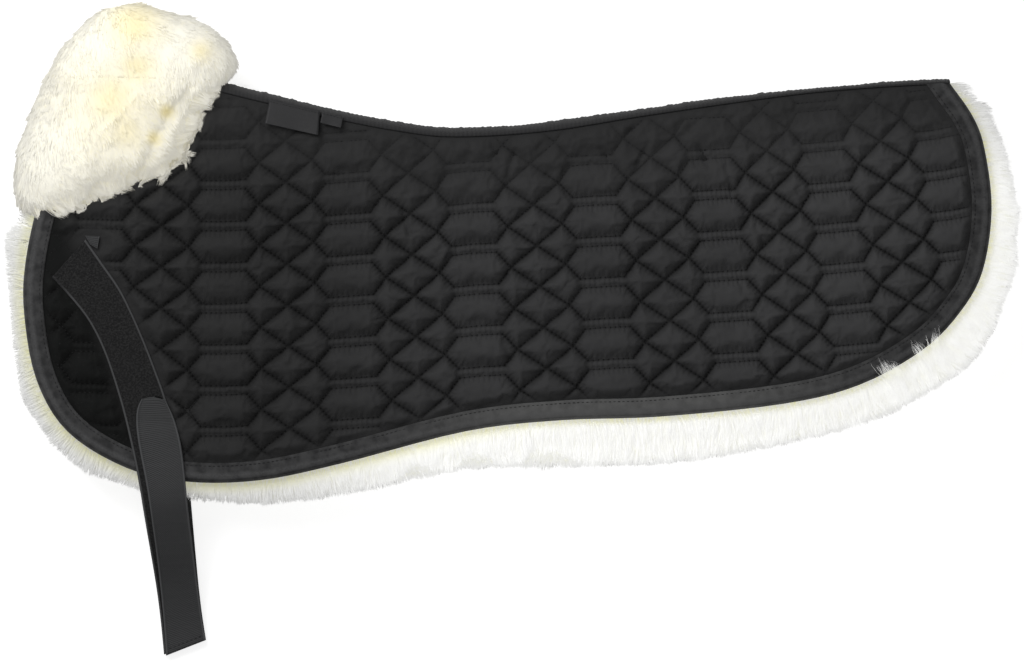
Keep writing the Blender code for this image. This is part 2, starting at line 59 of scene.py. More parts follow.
# Heights of the layers above the middle surface, and the gap kept between neighbours
GAP = 0.3 * MM
WOOL_TOP = 14.0 * MM
HIDE_UNDER = 14.3 * MM
HIDE_EDGE_UNDER = 15.6 * MM
HIDE_TOP = 16.8 * MM
WADDING_UNDER = 17.1 * MM
WADDING_TOP = 20.3 * MM
COVER_UNDER = 20.6 * MM
COVER_TOP = 21.6 * MM
STRAP_UNDER = 21.9 * MM
PILLOW = 4.9 * MM
BINDING = 0.9 * MM
STRAP = 1.0 * MM
ROLL_HIDE = 1.2 * MM

# Widths in plan
BINDING_WIDTH = 12.5 * MM
BINDING_NOSE = 2.2 * MM
# How far in from the edge the quilting's stitches start, and the wadding ends
BINDING_CLEAR = 13.2 * MM
WADDING_INSET = 13.6 * MM
STITCH = 2.8 * MM
SEWING_THREAD = 0.5 * MM

# The sewn pattern: long hexagons in columns, with diamonds between the columns
PATTERN_LENGTH = 76.2 * MM
PATTERN_HEIGHT = 25.4 * MM
HEXAGON_TIP = 21.5 * MM
HEXAGON_SHOULDER = 13.6 * MM
HEXAGON_HALF_HEIGHT = 9.9 * MM
PATTERN_BEND = 2300 * MM
PATTERN_CENTRE = np.array([-176.1, 31.3 + 2300]) * MM
PATTERN_ROW_SHIFT = -0.7 * MM
# How sewing and wear have drawn the pattern: its place along the rows, then the shift along and
# across them
PATTERN_DRAWN = np.array([
    (-76.2, -4.0, -3.7), (0, -2.9, -3.7), (76.2, -0.5, 0), (152.4, 0.6, 3.0), (228.6, 2.8, 1.0),
    (304.8, 2.0, -4.0), (381.0, -2.5, -10.0), (457.2, -6.0, -15.0),
]) * MM
PILLOW_REACH = 9.7 * MM
PILLOW_ROUNDNESS = 2.9

# The grids of each side's cotton, of the wool's bodies and of the plain layers, and the steps of the
# cuts across the climb
COTTON_PITCH = {NEAR: 1.25 * MM, OFF: 2.0 * MM}
WOOL_PITCH = 2.4 * MM
PLAIN_PITCH = 4 * MM
DRAPING_STEP = 10 * MM

# The frames that the cotton settles for as cloth, and how far a point may move while it does
CLOTH_FRAMES = 20
CLOTH_REACH = 1.6 * MM

# Threads and ribs in the finishes
COTTON_THREAD = 0.7 * MM
TWILL = 0.9 * MM
HOOK_RIB = 1.1 * MM
SATIN_ROW = 0.5 * MM

# Strands of wool: each field of the fringe, the lining's inner face, and the faces where the roll's
# sides meet
FRINGE_STRANDS = {NEAR: 11000, OFF: 7000}
INNER_STRANDS = 3200
MEETING_STRANDS = 900

# The drape: the middle surface climbs along a line that runs up to the pommel
LEVEL = 25.5 * MM
LEVEL_AT_ROLL = 38.0 * MM
CLIMB_START = np.array([-293.3, 75.3]) * MM
CLIMB_DIRECTION = np.array([-0.555, 0.832])
CLIMB_LENGTH = 190 * MM

# The pommel roll, from its underside to its crown, as shares of its outline and heights
ROLL_MIDDLE = np.array([-243, 137]) * MM
ROLL_RINGS = ((0.44, -37.0), (0.82, -31.0), (0.96, -13.0), (0.96, 12.0), (0.88, 31.0), (0.50, 46.0))
FOLD_FRONT = np.array([-248, 156]) * MM
FOLD_REAR = np.array([272, 145]) * MM
# The middle of the bend that the crown makes as the pad opens, and the reach to its ends
ROLL_BEND = (np.array([*FOLD_FRONT, 38 * MM]), np.array([0, 0, 26 * MM]))
# Half the slit between its crown and its sides, and how far the sides' cut faces lie off the middle
# surface
SLIT = 0.06 * MM
PRESSED = 1.5 * MM

# How a strap steps over the binding, and how the near one falls to the floor, by its place in Y
BINDING_STEP = ((-56, 0.0), (-66, 1.2))
NEAR_FALL = (
    (-96, 0.0), (-108, 2.0), (-120, 8.0), (-132, 17.0), (-144, 26.0), (-156, 33.5), (-170, 39.5),
    (-186, 43.5), (-206, 45.3),
)

# What the camera sees: its width and middle at a height over the floor. Its lens is in millimetres.
PHOTO_WIDTH = 634.9 * MM
PHOTO_MIDDLE = (-0.6 * MM, 0.3 * MM)
PHOTO_HEIGHT = 45 * MM
LENS = 250


def plan(*points):
    """Points in plan, in metres, given in millimetres."""
    return np.array(points, float) * MM


# Lines in plan, as the panel lies
SPINE = plan(
    (-248.6, 167.1), (-215.8, 158.4), (-180.4, 148.5), (-115.3, 133.0), (-70.1, 124.3), (-34.7, 120.9),
    (22.3, 124.6), (84.3, 134.4), (167.4, 146.2), (218.2, 151.1), (270.9, 154.2),
)
BOUND_EDGE = plan(
    (270.9, 154.2), (285.2, 133.6), (292.6, 113.2), (297.0, 76.0), (291.4, 37.5), (277.1, 11.5),
    (254.2, -11.5), (215.1, -33.2), (168.0, -45.0), (91.1, -53.0), (30.4, -55.2), (-29.1, -62.0),
    (-107.3, -82.2), (-156.9, -92.4), (-202.1, -93.3), (-239.9, -84.6), (-275.9, -62.3),
    (-295.1, -30.1), (-302.6, 11.5), (-301.5, 43.7), (-292.5, 84.0), (-276.0, 130.0), (-248.6, 167.1),
)
WOOL_TIPS = plan(
    (270.0, 152.0), (291.4, 149.0), (296.4, 137.3), (304.4, 116.9), (308.1, 104.5), (311.2, 97.7),
    (309.4, 89.0), (315.0, 76.0), (312.5, 56.7), (314.3, 42.5), (309.4, 30.7), (303.8, 17.7),
    (300.7, 5.9), (295.7, -1.6), (285.2, -18.3), (280.2, -24.5), (266.0, -31.9), (247.4, -42.5),
    (208.9, -59.8), (146.9, -73.5), (91.1, -81.5), (48.4, -82.8), (32.9, -79.1), (13.6, -72.9),
    (11.0, -82.2), (-5.0, -83.4), (-16.1, -81.5), (-25.4, -75.3), (-27.3, -84.0), (-44.6, -86.5),
    (-60.1, -83.4), (-68.2, -90.2), (-82.5, -96.4), (-132.1, -104.5), (-156.9, -107.0),
    (-173.0, -105.7), (-186.6, -102.0), (-200.9, -102.0), (-233.7, -97.0), (-245.5, -91.5),
    (-264.7, -87.7), (-273.4, -80.3), (-285.8, -67.9), (-300.1, -49.3), (-306.3, -34.4),
    (-305.7, -21.4), (-310.0, 15.2), (-311.9, 39.4), (-315.0, 51.8), (-312.5, 66.0),
)
WOOL_SPILL = plan(
    (268.0, 141.0), (281.0, 147.0), (292.0, 139.5), (303.8, 116.9), (312.5, 72.2), (307.5, 27.0),
    (288.0, -14.0), (243.0, -45.0), (208.9, -58.2), (146.9, -73.0), (91.1, -80.0), (29.1, -82.2),
    (-26.7, -83.8), (-82.5, -95.0), (-132.1, -104.0), (-163.1, -105.5), (-200.3, -102.6),
    (-237.5, -95.3), (-268.5, -83.6), (-290.5, -62.0), (-305.9, -30.0), (-311.0, 15.2), (-313.5, 45.0),
    (-312.0, 62.0),
)
WOOL_UNDER_ROLL = plan((-296.5, 70.5), (-290.0, 88.0), (-274.5, 130.0), (-260.0, 146.0))
ROLL_OUTLINE = plan(
    (-314, 70), (-311, 106), (-299, 138), (-285, 174), (-262, 201), (-234, 208), (-203, 199),
    (-172, 184), (-167, 161), (-188, 146), (-198, 113), (-214, 96), (-247, 85), (-281, 68),
)
LOOP_TAPE_RIGHT = plan(
    (-264.0, 57.0), (-257.0, 46.8), (-249.2, 35.6), (-241.8, 25.1), (-233.1, 5.9), (-226.3, -10.2),
    (-220.1, -27.0), (-213.4, -45.4), (-207.9, -73.5), (-204.6, -98.3), (-201.2, -129.3),
    (-197.6, -166.5), (-193.6, -193.6),
)
LOOP_TAPE_LEFT = plan(
    (-285.0, 33.5), (-278.0, 26.0), (-270.9, 17.7), (-262.9, 7.8), (-254.8, -7.8), (-249.2, -23.2),
    (-243.7, -41.2), (-239.3, -58.0), (-233.1, -85.9), (-229.4, -108.2), (-225.1, -141.7),
    (-221.3, -169.6), (-218.4, -202.2),
)
HOOK_TAPE_RIGHT = plan(
    (-214.5, -43.7), (-210.2, -52.4), (-205.8, -66.7), (-203.4, -85.9), (-201.5, -108.2),
    (-199.0, -136.1), (-195.9, -169.6), (-192.2, -193.1),
)
HOOK_TAPE_LEFT = plan(
    (-230.0, -41.9), (-234.4, -51.1), (-231.3, -74.7), (-226.3, -97.0), (-222.6, -130.5),
    (-220.3, -158.0), (-218.8, -175.7), (-217.0, -202.8),
)
ROOT_FLAP = plan((-264.3, 59.3), (-255.3, 58.8), (-256.8, 51.1), (-261.2, 53.7))
LABEL_TAG = plan((-150.2, 143.6), (-119.2, 136.2), (-120.3, 121.6), (-153.1, 128.9))
SIZE_TAG = plan((-117.6, 135.4), (-105.0, 132.4), (-106.3, 126.0), (-118.9, 129.0))
ROLL_CREASE = plan((-199, 152), (-207, 141), (-213, 132), (-221, 118), (-226, 108), (-234, 97))
# The roll's yellow hollows: their places in X and Y, how far they reach, and their depth of colour
ROLL_HOLLOWS = (
    (-246, 140, 34, 0.30), (-246, 143, 17, 0.60), (-231, 162, 13, 0.55), (-238, 123, 13, 0.45),
    (-234, 189, 17, 0.65), (-192, 173, 7, 0.50), (-213, 135, 5, 0.80), (-221, 119, 5, 0.75),
)
# Deep wrinkles in the cotton, from one end to the other
WRINKLES = plan(
    (131.9, 102.3), (135.5, 87.7), (115.3, 115.0), (120.9, 102.3), (150.0, 65.6), (157.5, 49.3),
    (54.6, 113.2), (59.5, 106.0), (-14.3, 118.7), (-8.1, 106.3), (1.2, 112.5), (-3.1, 95.2),
    (84.0, 116.0), (77.0, 103.0), (-68.0, 74.0), (-64.0, 60.0), (-6.0, -4.0), (-2.0, -18.0),
    (141.0, 30.0), (146.0, 18.0),
).reshape(-1, 2, 2)
# How far the webbing bulges over the spine, by its place along it
BAND_BULGE = np.array([
    (-184, 6.2), (-150, 6.0), (-110, 5.6), (-20, 5.6), (4, 5.2), (29, 6.0), (54, 5.3), (85, 4.2),
    (116, 4.7), (147, 3.6), (178, 2.9), (209, 2.4), (240, 3.2), (271, 2.8),
]) * MM


def smooth_line(points, steps):
    """A curve through the points, with this many steps from each to the next."""
    ends = np.vstack([2 * points[0] - points[1], points, 2 * points[-1] - points[-2]])
    share = np.arange(steps)[:, None] / steps
    spans = []
    for a, b, c, d in zip(ends, ends[1:], ends[2:], ends[3:]):
        squared = (2 * a - 5 * b + 4 * c - d) * share**2
        cubed = (3 * b - a - 3 * c + d) * share**3
        spans.append(0.5 * (2 * b + (c - a) * share + squared + cubed))
    return np.vstack(spans + [points[-1:]])


def reach_along(line):
    """How far along the line each of its points lies."""
    return np.concatenate([[0], np.cumsum(np.linalg.norm(np.diff(line, axis=0), axis=1))])


def spaced(line, spacing):
    """The same line with its points evenly spaced."""
    reach = reach_along(line)
    places = np.linspace(0, reach[-1], max(2, round(reach[-1] / spacing) + 1))
    return np.stack([np.interp(places, reach, column) for column in line.T], axis=1)


def closed(outline):
    """The outline with its first point again at its end."""
    return np.vstack([outline, outline[:1]])


def between(first, second, share):
    return first * (1 - share) + second * share


def unit(vectors):
    return vectors / np.maximum(np.linalg.norm(vectors, axis=-1, keepdims=True), 1e-12)


def to_the_right(vectors):
    """Square to vectors in plan. An outline runs clockwise, so this points into it."""
    return np.stack([vectors[..., 1], -vectors[..., 0]], axis=-1)


def inset(outline, distance):
    """The closed outline moved inwards."""
    before = unit(outline - np.roll(outline, 1, axis=0))
    after = unit(np.roll(outline, -1, axis=0) - outline)
    inwards = unit(to_the_right(before + after))
    corner = np.maximum(0.5, (to_the_right(before) * inwards).sum(axis=1))
    return outline + inwards * (distance / corner)[:, None]


def nearest_on(line, places):
    """For each place: its distance to a line, the foot on it, and the way to the line's right there."""
    best = np.full(len(places), np.inf)
    foot = np.zeros_like(places)
    right = np.zeros_like(places)
    for a, b in zip(line, line[1:]):
        run = b - a
        share = np.clip((places - a) @ run / (run @ run), 0, 1)
        point = a + share[:, None] * run
        gap = np.linalg.norm(places - point, axis=1)
        closer = gap < best
        best[closer] = gap[closer]
        foot[closer] = point[closer]
        right[closer] = unit(to_the_right(run))
    return best, foot, right


def distance_to(line, places):
    return nearest_on(line, places)[0]


def inside(outline, places):
    crossings = np.zeros(len(places), int)
    for a, b in zip(outline, np.roll(outline, -1, axis=0)):
        if a[1] != b[1]:
            spans = (a[1] > places[:, 1]) != (b[1] > places[:, 1])
            crossing = a[0] + (places[:, 1] - a[1]) * (b[0] - a[0]) / (b[1] - a[1])
            crossings += spans & (places[:, 0] < crossing)
    return crossings % 2 == 1


def ease(value, low, high):
    """0 below low, 1 above high, and smooth between them."""
    share = np.clip((value - low) / (high - low), 0, 1)
    return share * share * (3 - 2 * share)


def ripple(places, wavelength, seed, waves=14):
    """Smooth noise, mostly within -1 and 1, over places in plan or in space."""
    draw = np.random.default_rng(seed)
    directions = unit(draw.normal(size=(waves, places.shape[1])))
    lengths = wavelength * draw.uniform(0.7, 1.5, waves)
    phases = draw.uniform(0, 2 * math.pi, waves)
    turns = places @ (2 * math.pi * directions / lengths[:, None]).T + phases
    return np.sin(turns).sum(axis=1) / math.sqrt(waves)


def middle_height(places):
    """How high the middle surface lies above the floor."""
    share = ease((places - CLIMB_START) @ CLIMB_DIRECTION, -CLIMB_LENGTH, 0)
    return LEVEL + (LEVEL_AT_ROLL - LEVEL) * share


def read_off(table, value):
    """A drop along a table of (place, drop) pairs in millimetres, as a smooth curve."""
    curve = smooth_line(np.array(table, float) * MM, 6)[::-1]
    return np.interp(value, curve[:, 0], curve[:, 1])


SPINE_LINE = smooth_line(SPINE, 6)
BOUND_LINE = smooth_line(BOUND_EDGE, 5)
PANEL = np.vstack([SPINE_LINE[:-1], BOUND_LINE[:-1]])
ROLL_FOOT = smooth_line(closed(ROLL_OUTLINE), 4)
STRAP_MIDDLE = smooth_line((LOOP_TAPE_LEFT + LOOP_TAPE_RIGHT) / 2, 4)
FOLD_ALONG = unit(FOLD_REAR - FOLD_FRONT)
FOLD_NORMAL = np.array([-FOLD_ALONG[1], FOLD_ALONG[0], 0])
# The cotton and the hide run up to the spine, and stop within the nose of the binding elsewhere
CUT_EDGE = inset(PANEL, np.repeat([0, BINDING_NOSE], [len(SPINE_LINE) - 1, len(BOUND_LINE) - 1]))


class Wire:
    """A value in a material. Arithmetic on it adds the Math nodes."""

    def __init__(self, finish, socket):
        self.finish = finish
        self.socket = socket

    def worked(self, operation, *values):
        return self.finish.node("Math", {"operation": operation}, dict(enumerate(values)))

    def __add__(self, other):
        return self.worked("ADD", self, other)

    def __sub__(self, other):
        return self.worked("SUBTRACT", self, other)

    def __rsub__(self, other):
        return self.worked("SUBTRACT", other, self)

    def __mul__(self, other):
        return self.worked("MULTIPLY", self, other)

    def __pow__(self, other):
        return self.worked("POWER", self, other)

    def wave(self, spacing):
        """A cosine that comes round again after this spacing."""
        turns = self * (2 * math.pi / spacing)
        return turns.worked("COSINE", turns)

    def ribs(self, spacing):
        """The same wave, between 0 and 1."""
        return self.wave(spacing) * 0.5 + 0.5

    def eased(self, low, high):
        """0 at low and 1 at high, and smooth between them."""
        settings = {"interpolation_type": "SMOOTHSTEP"}
        return self.finish.node("MapRange", settings, {0: self, 1: low, 2: high, 3: 0.0, 4: 1.0})


class Finish:
    """One material and the nodes that feed its shader."""

    def __init__(self, name, roughness, specular, sheen=0.0, glow=0.0):
        self.material = bpy.data.materials.new(name)
        self.material.use_nodes = True
        self.tree = self.material.node_tree
        self.shader = self.tree.nodes["Principled BSDF"]
        sockets = ("Roughness", "Specular IOR Level", "Sheen Weight", "Emission Strength")
        for socket, value in zip(sockets, (roughness, specular, sheen, glow)):
            self.shader.inputs[socket].default_value = value

    def feed(self, socket, value):
        if isinstance(value, Wire):
            self.tree.links.new(value.socket, socket)
        else:
            socket.default_value = value

    def node(self, kind, settings, inputs, output=0):
        made = self.tree.nodes.new("ShaderNode" + kind)
        for name, value in settings.items():
            setattr(made, name, value)
        for name, value in inputs.items():
            self.feed(made.inputs[name], value)
        return Wire(self, made.outputs[output])

    def place(self):
        """The piece's own coordinates, in metres."""
        return self.node("TexCoord", {}, {}, 3)

    def axis(self, index):
        """One of those coordinates."""
        return self.node("SeparateXYZ", {}, {0: self.place()}, index)

    def read(self, attribute):
        return self.node("Attribute", {"attribute_name": attribute}, {}, 2)

    def noise(self, size, detail=2.0, stretch=(1, 1, 1)):
        """Noise whose patches are about this size in metres, drawn out by stretch."""
        scale = [1 / (size * times) for times in stretch]
        vector = self.node("VectorMath", {"operation": "MULTIPLY"}, {0: self.place(), 1: scale})
        return self.node("TexNoise", {}, {"Vector": vector, "Scale": 1.0, "Detail": detail})

    def mixed(self, first, second, share):
        """A colour between two, by share."""
        colours = {0: share, 6: as_colour(first), 7: as_colour(second)}
        return self.node("Mix", {"data_type": "RGBA"}, colours, 2)

    def colour(self, value, socket="Base Color"):
        self.feed(self.shader.inputs[socket], value)

    def relief(self, height, distance):
        """Feeds the surface's fine relief, where height 1 stands this distance proud."""
        bump = self.node("Bump", {}, {"Height": height, "Distance": distance, "Strength": 1.0})
        self.feed(self.shader.inputs["Normal"], bump)


def as_colour(value):
    return value if isinstance(value, Wire) else (*value, 1.0)


def cotton():
    """Black cotton: a plain weave, needle holes and puckers along the quilting, and lint and patchy tone.
    Painted light makes it paler towards the rear; painted shade darkens it left of the strap, in the
    seams' valleys and in the needle holes.
    """
    made = Finish("black quilted cotton", 0.8, 0.16, 0.05)
    from_seam = made.read("seam_distance")
    padded = made.read("padded")
    ladder = made.read("ladder")
    stitches = made.read("stitch_count").ribs(1)
    hole = stitches**5.0 * (1 - from_seam.eased(0.15, 0.75)) * padded
    pucker = stitches * from_seam.eased(0.3, 1.0) * (1 - from_seam.eased(1.4, 5.0)) * padded
    across, down = made.axis(0), made.axis(1)
    weave = across.wave(COTTON_THREAD) * down.wave(COTTON_THREAD)
    lint = made.noise(0.0012)
    patches = made.noise(0.03, 4.0)
    # Painted light: paler towards the rear of the panel, most on the padded pillows, and paler still at
    # its far end.
    front = made.mixed((0.021, 0.021, 0.0212), (0.034, 0.034, 0.0345), patches)
    rear = made.mixed((0.036, 0.036, 0.037), (0.054, 0.054, 0.0555), patches)
    lit_towards_rear = made.mixed(front, rear, across.eased(-0.17, 0.0) * (padded * 0.8 + 0.2))
    paler = made.mixed(lit_towards_rear, (0.068, 0.068, 0.0695), across.eased(0.08, 0.22) * 0.5 * padded)
    # Painted shade: dark left of the strap, where the roll's shadow falls.
    past_strap = (across + down * 0.33).eased(-0.264, -0.244)
    shaded = made.mixed((0.003, 0.0035, 0.0032), paler, past_strap * 0.88 + 0.12)
    speckled = made.mixed(shaded, (0.060, 0.060, 0.061), lint.eased(0.62, 0.85) * 0.35)
    # Painted shade in the valleys along the seams, less along the ladders, and in the needle holes.
    near = 1 - from_seam.eased(0.2, 1.6)
    wide = 1 - from_seam.eased(0.4, 4.2)
    depth = (near * 0.45 + wide * 0.4 * (1 - ladder)) * (padded * 0.65 + 0.2) * (1 - ladder * 0.35)
    valley = made.mixed(speckled, (0.003, 0.003, 0.003), depth)
    made.colour(made.mixed(valley, (0.001, 0.001, 0.001), hole * 0.85))
    made.relief(weave * 0.10 + lint * 0.30 - hole * 1.4 - pucker * (ladder * 0.5 + 0.9), 0.00024)
    return made.material


def thread():
    made = Finish("black thread", 0.6, 0.3)
    made.colour(made.mixed((0.006, 0.006, 0.007), (0.014, 0.014, 0.015), made.noise(0.0008)))
    return made.material


def binding_tape():
    """Folded twill tape, dark grey, smooth with faint drag marks along it, with painted light across the
    middle of the lower edge and a painted highlight along its crest.
    """
    made = Finish("dark grey binding tape", 0.72, 0.2, 0.08)
    mottled = made.noise(0.006, 3.0)
    fine = made.noise(0.0011)
    across = made.axis(0)
    # Painted light: paler in a band across the middle of the pad's lower edge.
    lit_middle = across.eased(-0.10, 0.03) * (1 - across.eased(0.12, 0.24))
    base = made.mixed((0.027, 0.027, 0.028), (0.060, 0.060, 0.061), mottled.eased(0.3, 0.7))
    paler = made.mixed(base, (0.145, 0.145, 0.143), lit_middle * (mottled * 0.6 + 0.35))
    # Painted highlight along the tape's crest, speckled by fine noise.
    made.colour(made.mixed(paler, (0.105, 0.105, 0.107), made.read("crest_highlight") * fine))
    twill = (across + made.axis(1)).wave(TWILL)
    made.relief(twill * 0.25 + fine * 0.5 + mottled, 0.00015)
    return made.material


def loop_tape_finish():
    """The soft face of the tape: a dense pile of loops, with smooth paler selvedges."""
    made = Finish("black loop pile", 0.95, 0.15, 0.08)
    loops = made.noise(0.0011, 3.0)
    selvedge = made.read("selvedge")
    dark = made.mixed((0.010, 0.010, 0.0105), (0.036, 0.036, 0.036), loops.eased(0.35, 0.72))
    patchy = made.mixed(dark, (0.018, 0.018, 0.018), made.noise(0.006, 3.0) * 0.6)
    made.colour(made.mixed(patchy, (0.078, 0.079, 0.081), selvedge))
    made.relief(loops * (1 - selvedge), 0.0006)
    return made.material


def hook_tape_finish():
    """The woven back of the hook tape, with fine ribs across it."""
    made = Finish("dark ribbed tape", 0.6, 0.25)
    ribs = made.read("down_tape").ribs(HOOK_RIB)
    streaks = made.noise(0.0035, 3.0, (4, 0.6, 1))
    selvedge = made.read("selvedge")
    base = made.mixed((0.032, 0.033, 0.034), (0.055, 0.056, 0.058), ribs * 0.5 + streaks * 0.5)
    made.colour(made.mixed(base, (0.078, 0.079, 0.082), selvedge))
    made.relief(ribs * (1 - selvedge) + streaks * 0.5, 0.00018)
    return made.material


def webbing():
    """Dark grey webbing over the spine."""
    made = Finish("dark grey webbing", 0.8, 0.25)
    fine = made.noise(0.0009)
    share = made.read("rib") * 0.5 + fine * 0.5
    made.colour(made.mixed((0.018, 0.018, 0.019), (0.036, 0.036, 0.037), share))
    made.relief(fine, 0.0002)
    return made.material


def tag_cloth():
    """Black satin of the bare tags, woven fine across."""
    made = Finish("black satin tag", 0.5, 0.35)
    rows = made.axis(1).ribs(SATIN_ROW)
    fine = made.noise(0.0015)
    made.colour(made.mixed((0.018, 0.018, 0.019), (0.034, 0.034, 0.036), rows * 0.4 + fine * 0.6))
    made.relief(rows + fine, 0.00006)
    return made.material


def wool(name, root, middle, tip, stain, glow, shade_brightness=1.0):
    """Wool, deeper in colour near the skin, with stained hollows, and painted shade that darkens it at
    the pommel and along the spine.

    Light scatters through a fleece, so that it has hardly any dark side. The glow stands for that: it is
    painted light, which lifts the wool's shaded side.
    """
    made = Finish(name, 1.0, 0.05, glow=glow)
    along = made.read("along")
    low = made.mixed(root, middle, along.eased(0.0, 0.45))
    high = made.mixed(low, tip, along.eased(0.25, 0.9))
    stained = made.mixed(high, stain, made.read("stain") * (made.noise(0.012) * 0.5 + 0.75))
    # Painted shade: darker at the pommel under the roll, and at the rear corner by the spine.
    shaded_wool = made.mixed((0, 0, 0), stained, shade_brightness)
    lit = made.axis(0).eased(-0.19, -0.03) * (1 - made.axis(1).eased(0.08, 0.14) * 0.7)
    toned = made.mixed(shaded_wool, stained, lit)
    made.colour(toned)
    made.colour(toned, "Emission Color")
    return made.material


def suede():
    made = Finish("undyed suede", 0.9, 0.2)
    made.colour(made.mixed((0.55, 0.44, 0.30), (0.68, 0.58, 0.43), made.noise(0.004, 4.0)))
    made.relief(made.noise(0.0008, 3.0), 0.0002)
    return made.material


def wadding_finish():
    made = Finish("white wadding", 1.0, 0.1)
    made.colour(made.mixed((0.68, 0.68, 0.65), (0.80, 0.80, 0.78), made.noise(0.005, 4.0)))
    made.relief(made.noise(0.0015, 4.0), 0.0006)
    return made.material


def floor_finish():
    """Pale studio paper, which the camera sees nearly white and which gives less light to the object."""
    made = Finish("studio paper", 0.9, 0.0, glow=1.0)
    made.colour((0.62, 0.62, 0.62, 1))
    seen, mirrored = (made.node("LightPath", {}, {}, output) for output in (0, 3))
    shown = seen.worked("MAXIMUM", seen, mirrored)
    made.colour(made.mixed((0, 0, 0), (0.75, 0.75, 0.75), shown), "Emission Color")
    return made.material


def added(name, data):
    """A new object in the scene."""
    made = bpy.data.objects.new(name, data)
    bpy.context.scene.collection.objects.link(made)
    return made


def piece(name, mesh, finish, body=None, node=None):
    """A finished object of the half pad. Its maker bakes it in place if it isn't given a body."""
    mesh.materials.clear()
    mesh.materials.append(FINISHES[finish])
    mesh.shade_smooth()
    made = added(name, mesh)
    if body:
        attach(made, body)
    if node:
        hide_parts(node)
    return made


def mesh_of(bm):
    mesh = bpy.data.meshes.new("made")
    bm.to_mesh(mesh)
    bm.free()
    return mesh


def points_of(shape):
    """The points of a mesh, or of one that is being made."""
    verts = shape.verts if isinstance(shape, bmesh.types.BMesh) else shape.vertices
    return np.array([vert.co for vert in verts])


def put(bm, points):
    for vert, point in zip(bm.verts, points):
        vert.co = point


def move(mesh, points):
    mesh.vertices.foreach_set("co", points.reshape(-1))
    mesh.update()


def keep_above_floor(bm):
    points = points_of(bm)
    points[:, 2] = np.maximum(points[:, 2], 0)
    put(bm, points)


def open_edges(bm):
    return [edge for edge in bm.edges if edge.is_boundary]


def fill_holes(bm):
    bmesh.ops.holes_fill(bm, edges=open_edges(bm), sides=0)


def cut(bm, place, normal, chosen=None, clear=False):
    """Cuts what is chosen, or everything, at a plane, and clears what the normal points away from."""
    geom = bm.verts[:] + bm.edges[:] + bm.faces[:] if chosen is None else chosen
    bmesh.ops.bisect_plane(bm, geom=geom, dist=1e-7, plane_co=place, plane_no=normal, clear_inner=clear)


def mark(mesh, name, values):
    """Keeps a value for each point of the mesh, which its material reads."""
    kept = mesh.attributes.new(name, "FLOAT", "POINT")
    kept.data.foreach_set("value", np.asarray(values, np.float32))


def drape(points, side):
    """Flat layer points laid on the middle surface, turned over on the off side."""
    laid = points.copy()
    middle = middle_height(points[..., :2].reshape(-1, 2)).reshape(points.shape[:-1])
    laid[..., 2] = side * points[..., 2] + middle
    return laid


def laid_line(line, height, side):
    """A line in plan, at a height of its layer, laid on the middle surface."""
    return drape(np.column_stack([line, np.broadcast_to(height, len(line))]), side)


def drape_mesh(bm, side):
    put(bm, drape(points_of(bm), side))
    if side == OFF:
        bmesh.ops.reverse_faces(bm, faces=bm.faces)


def trimmed_grid(outline, pitch):
    """A flat grid trimmed to an outline, with its rim moved onto the outline."""
    low = outline.min(axis=0) - pitch
    counts = np.ceil((outline.max(axis=0) + pitch - low) / pitch).astype(int)
    bm = bmesh.new()
    bmesh.ops.create_grid(bm, x_segments=int(counts[0]), y_segments=int(counts[1]), size=1)
    spread = (points_of(bm)[:, :2] + 1) / 2 * counts * pitch + low
    put(bm, np.column_stack([spread, np.zeros(len(spread))]))
    middles = np.array([face.calc_center_median().xy for face in bm.faces])
    kept = inside(outline, middles) & (distance_to(closed(outline), middles) > 0.35 * pitch)
    bmesh.ops.delete(bm, geom=[face for face, keep in zip(bm.faces, kept) if not keep], context="FACES")
    rim = [vert for vert in bm.verts if vert.is_boundary]
    _, foot, _ = nearest_on(closed(outline), np.array([vert.co.xy for vert in rim]))
    for vert, place in zip(rim, foot):
        vert.co.xy = place
    return bm


def cut_for_draping(bm, faces):
    """Cuts these faces across the climb, so that they can be draped."""
    for place in np.arange(-CLIMB_LENGTH, 1 * MM, DRAPING_STEP):
        chosen = faces()
        near = {item for face in chosen for item in (*face.verts, *face.edges, face)}
        cut(bm, (*(CLIMB_START + CLIMB_DIRECTION * place), 0), (*CLIMB_DIRECTION, 0), list(near))


def close_below(bm, outline, profile):
    """Walls down from the rim, by (inset, height) steps, and an underside that is cut for draping."""
    for step, height in profile:
        wall = bmesh.ops.extrude_edge_only(bm, edges=open_edges(bm))["geom"]
        verts = [item for item in wall if isinstance(item, bmesh.types.BMVert)]
        _, _, inwards = nearest_on(closed(outline), np.array([vert.co.xy for vert in verts]))
        for vert, way in zip(verts, inwards):
            vert.co.x += way[0] * step
            vert.co.y += way[1] * step
            vert.co.z = height
    fill_holes(bm)
    cut_for_draping(bm, lambda: [face for face in bm.faces if len(face.verts) > 6])
    bmesh.ops.recalc_face_normals(bm, faces=bm.faces)


def skin(rows):
    """A closed tube through rings of points: a grid put in place, joined round, with its ends filled."""
    along, around = rows.shape[:2]
    bm = bmesh.new()
    bmesh.ops.create_grid(bm, x_segments=around - 1, y_segments=along - 1, size=1)
    put(bm, rows.reshape(-1, 3))
    bmesh.ops.remove_doubles(bm, verts=bm.verts, dist=1e-6)
    fill_holes(bm)
    bmesh.ops.recalc_face_normals(bm, faces=bm.faces)
    return bm


def repeated(template, count):
    """A mesh that holds a small shape many times over, and the shape's own points."""
    points = points_of(template)
    single = added("single", mesh_of(template))
    array = single.modifiers.new("repeat", "ARRAY")
    array.count = count
    array.use_relative_offset = False
    array.use_constant_offset = True
    array.constant_offset_displace = (0.01, 0, 0)
    return made_from(single), points


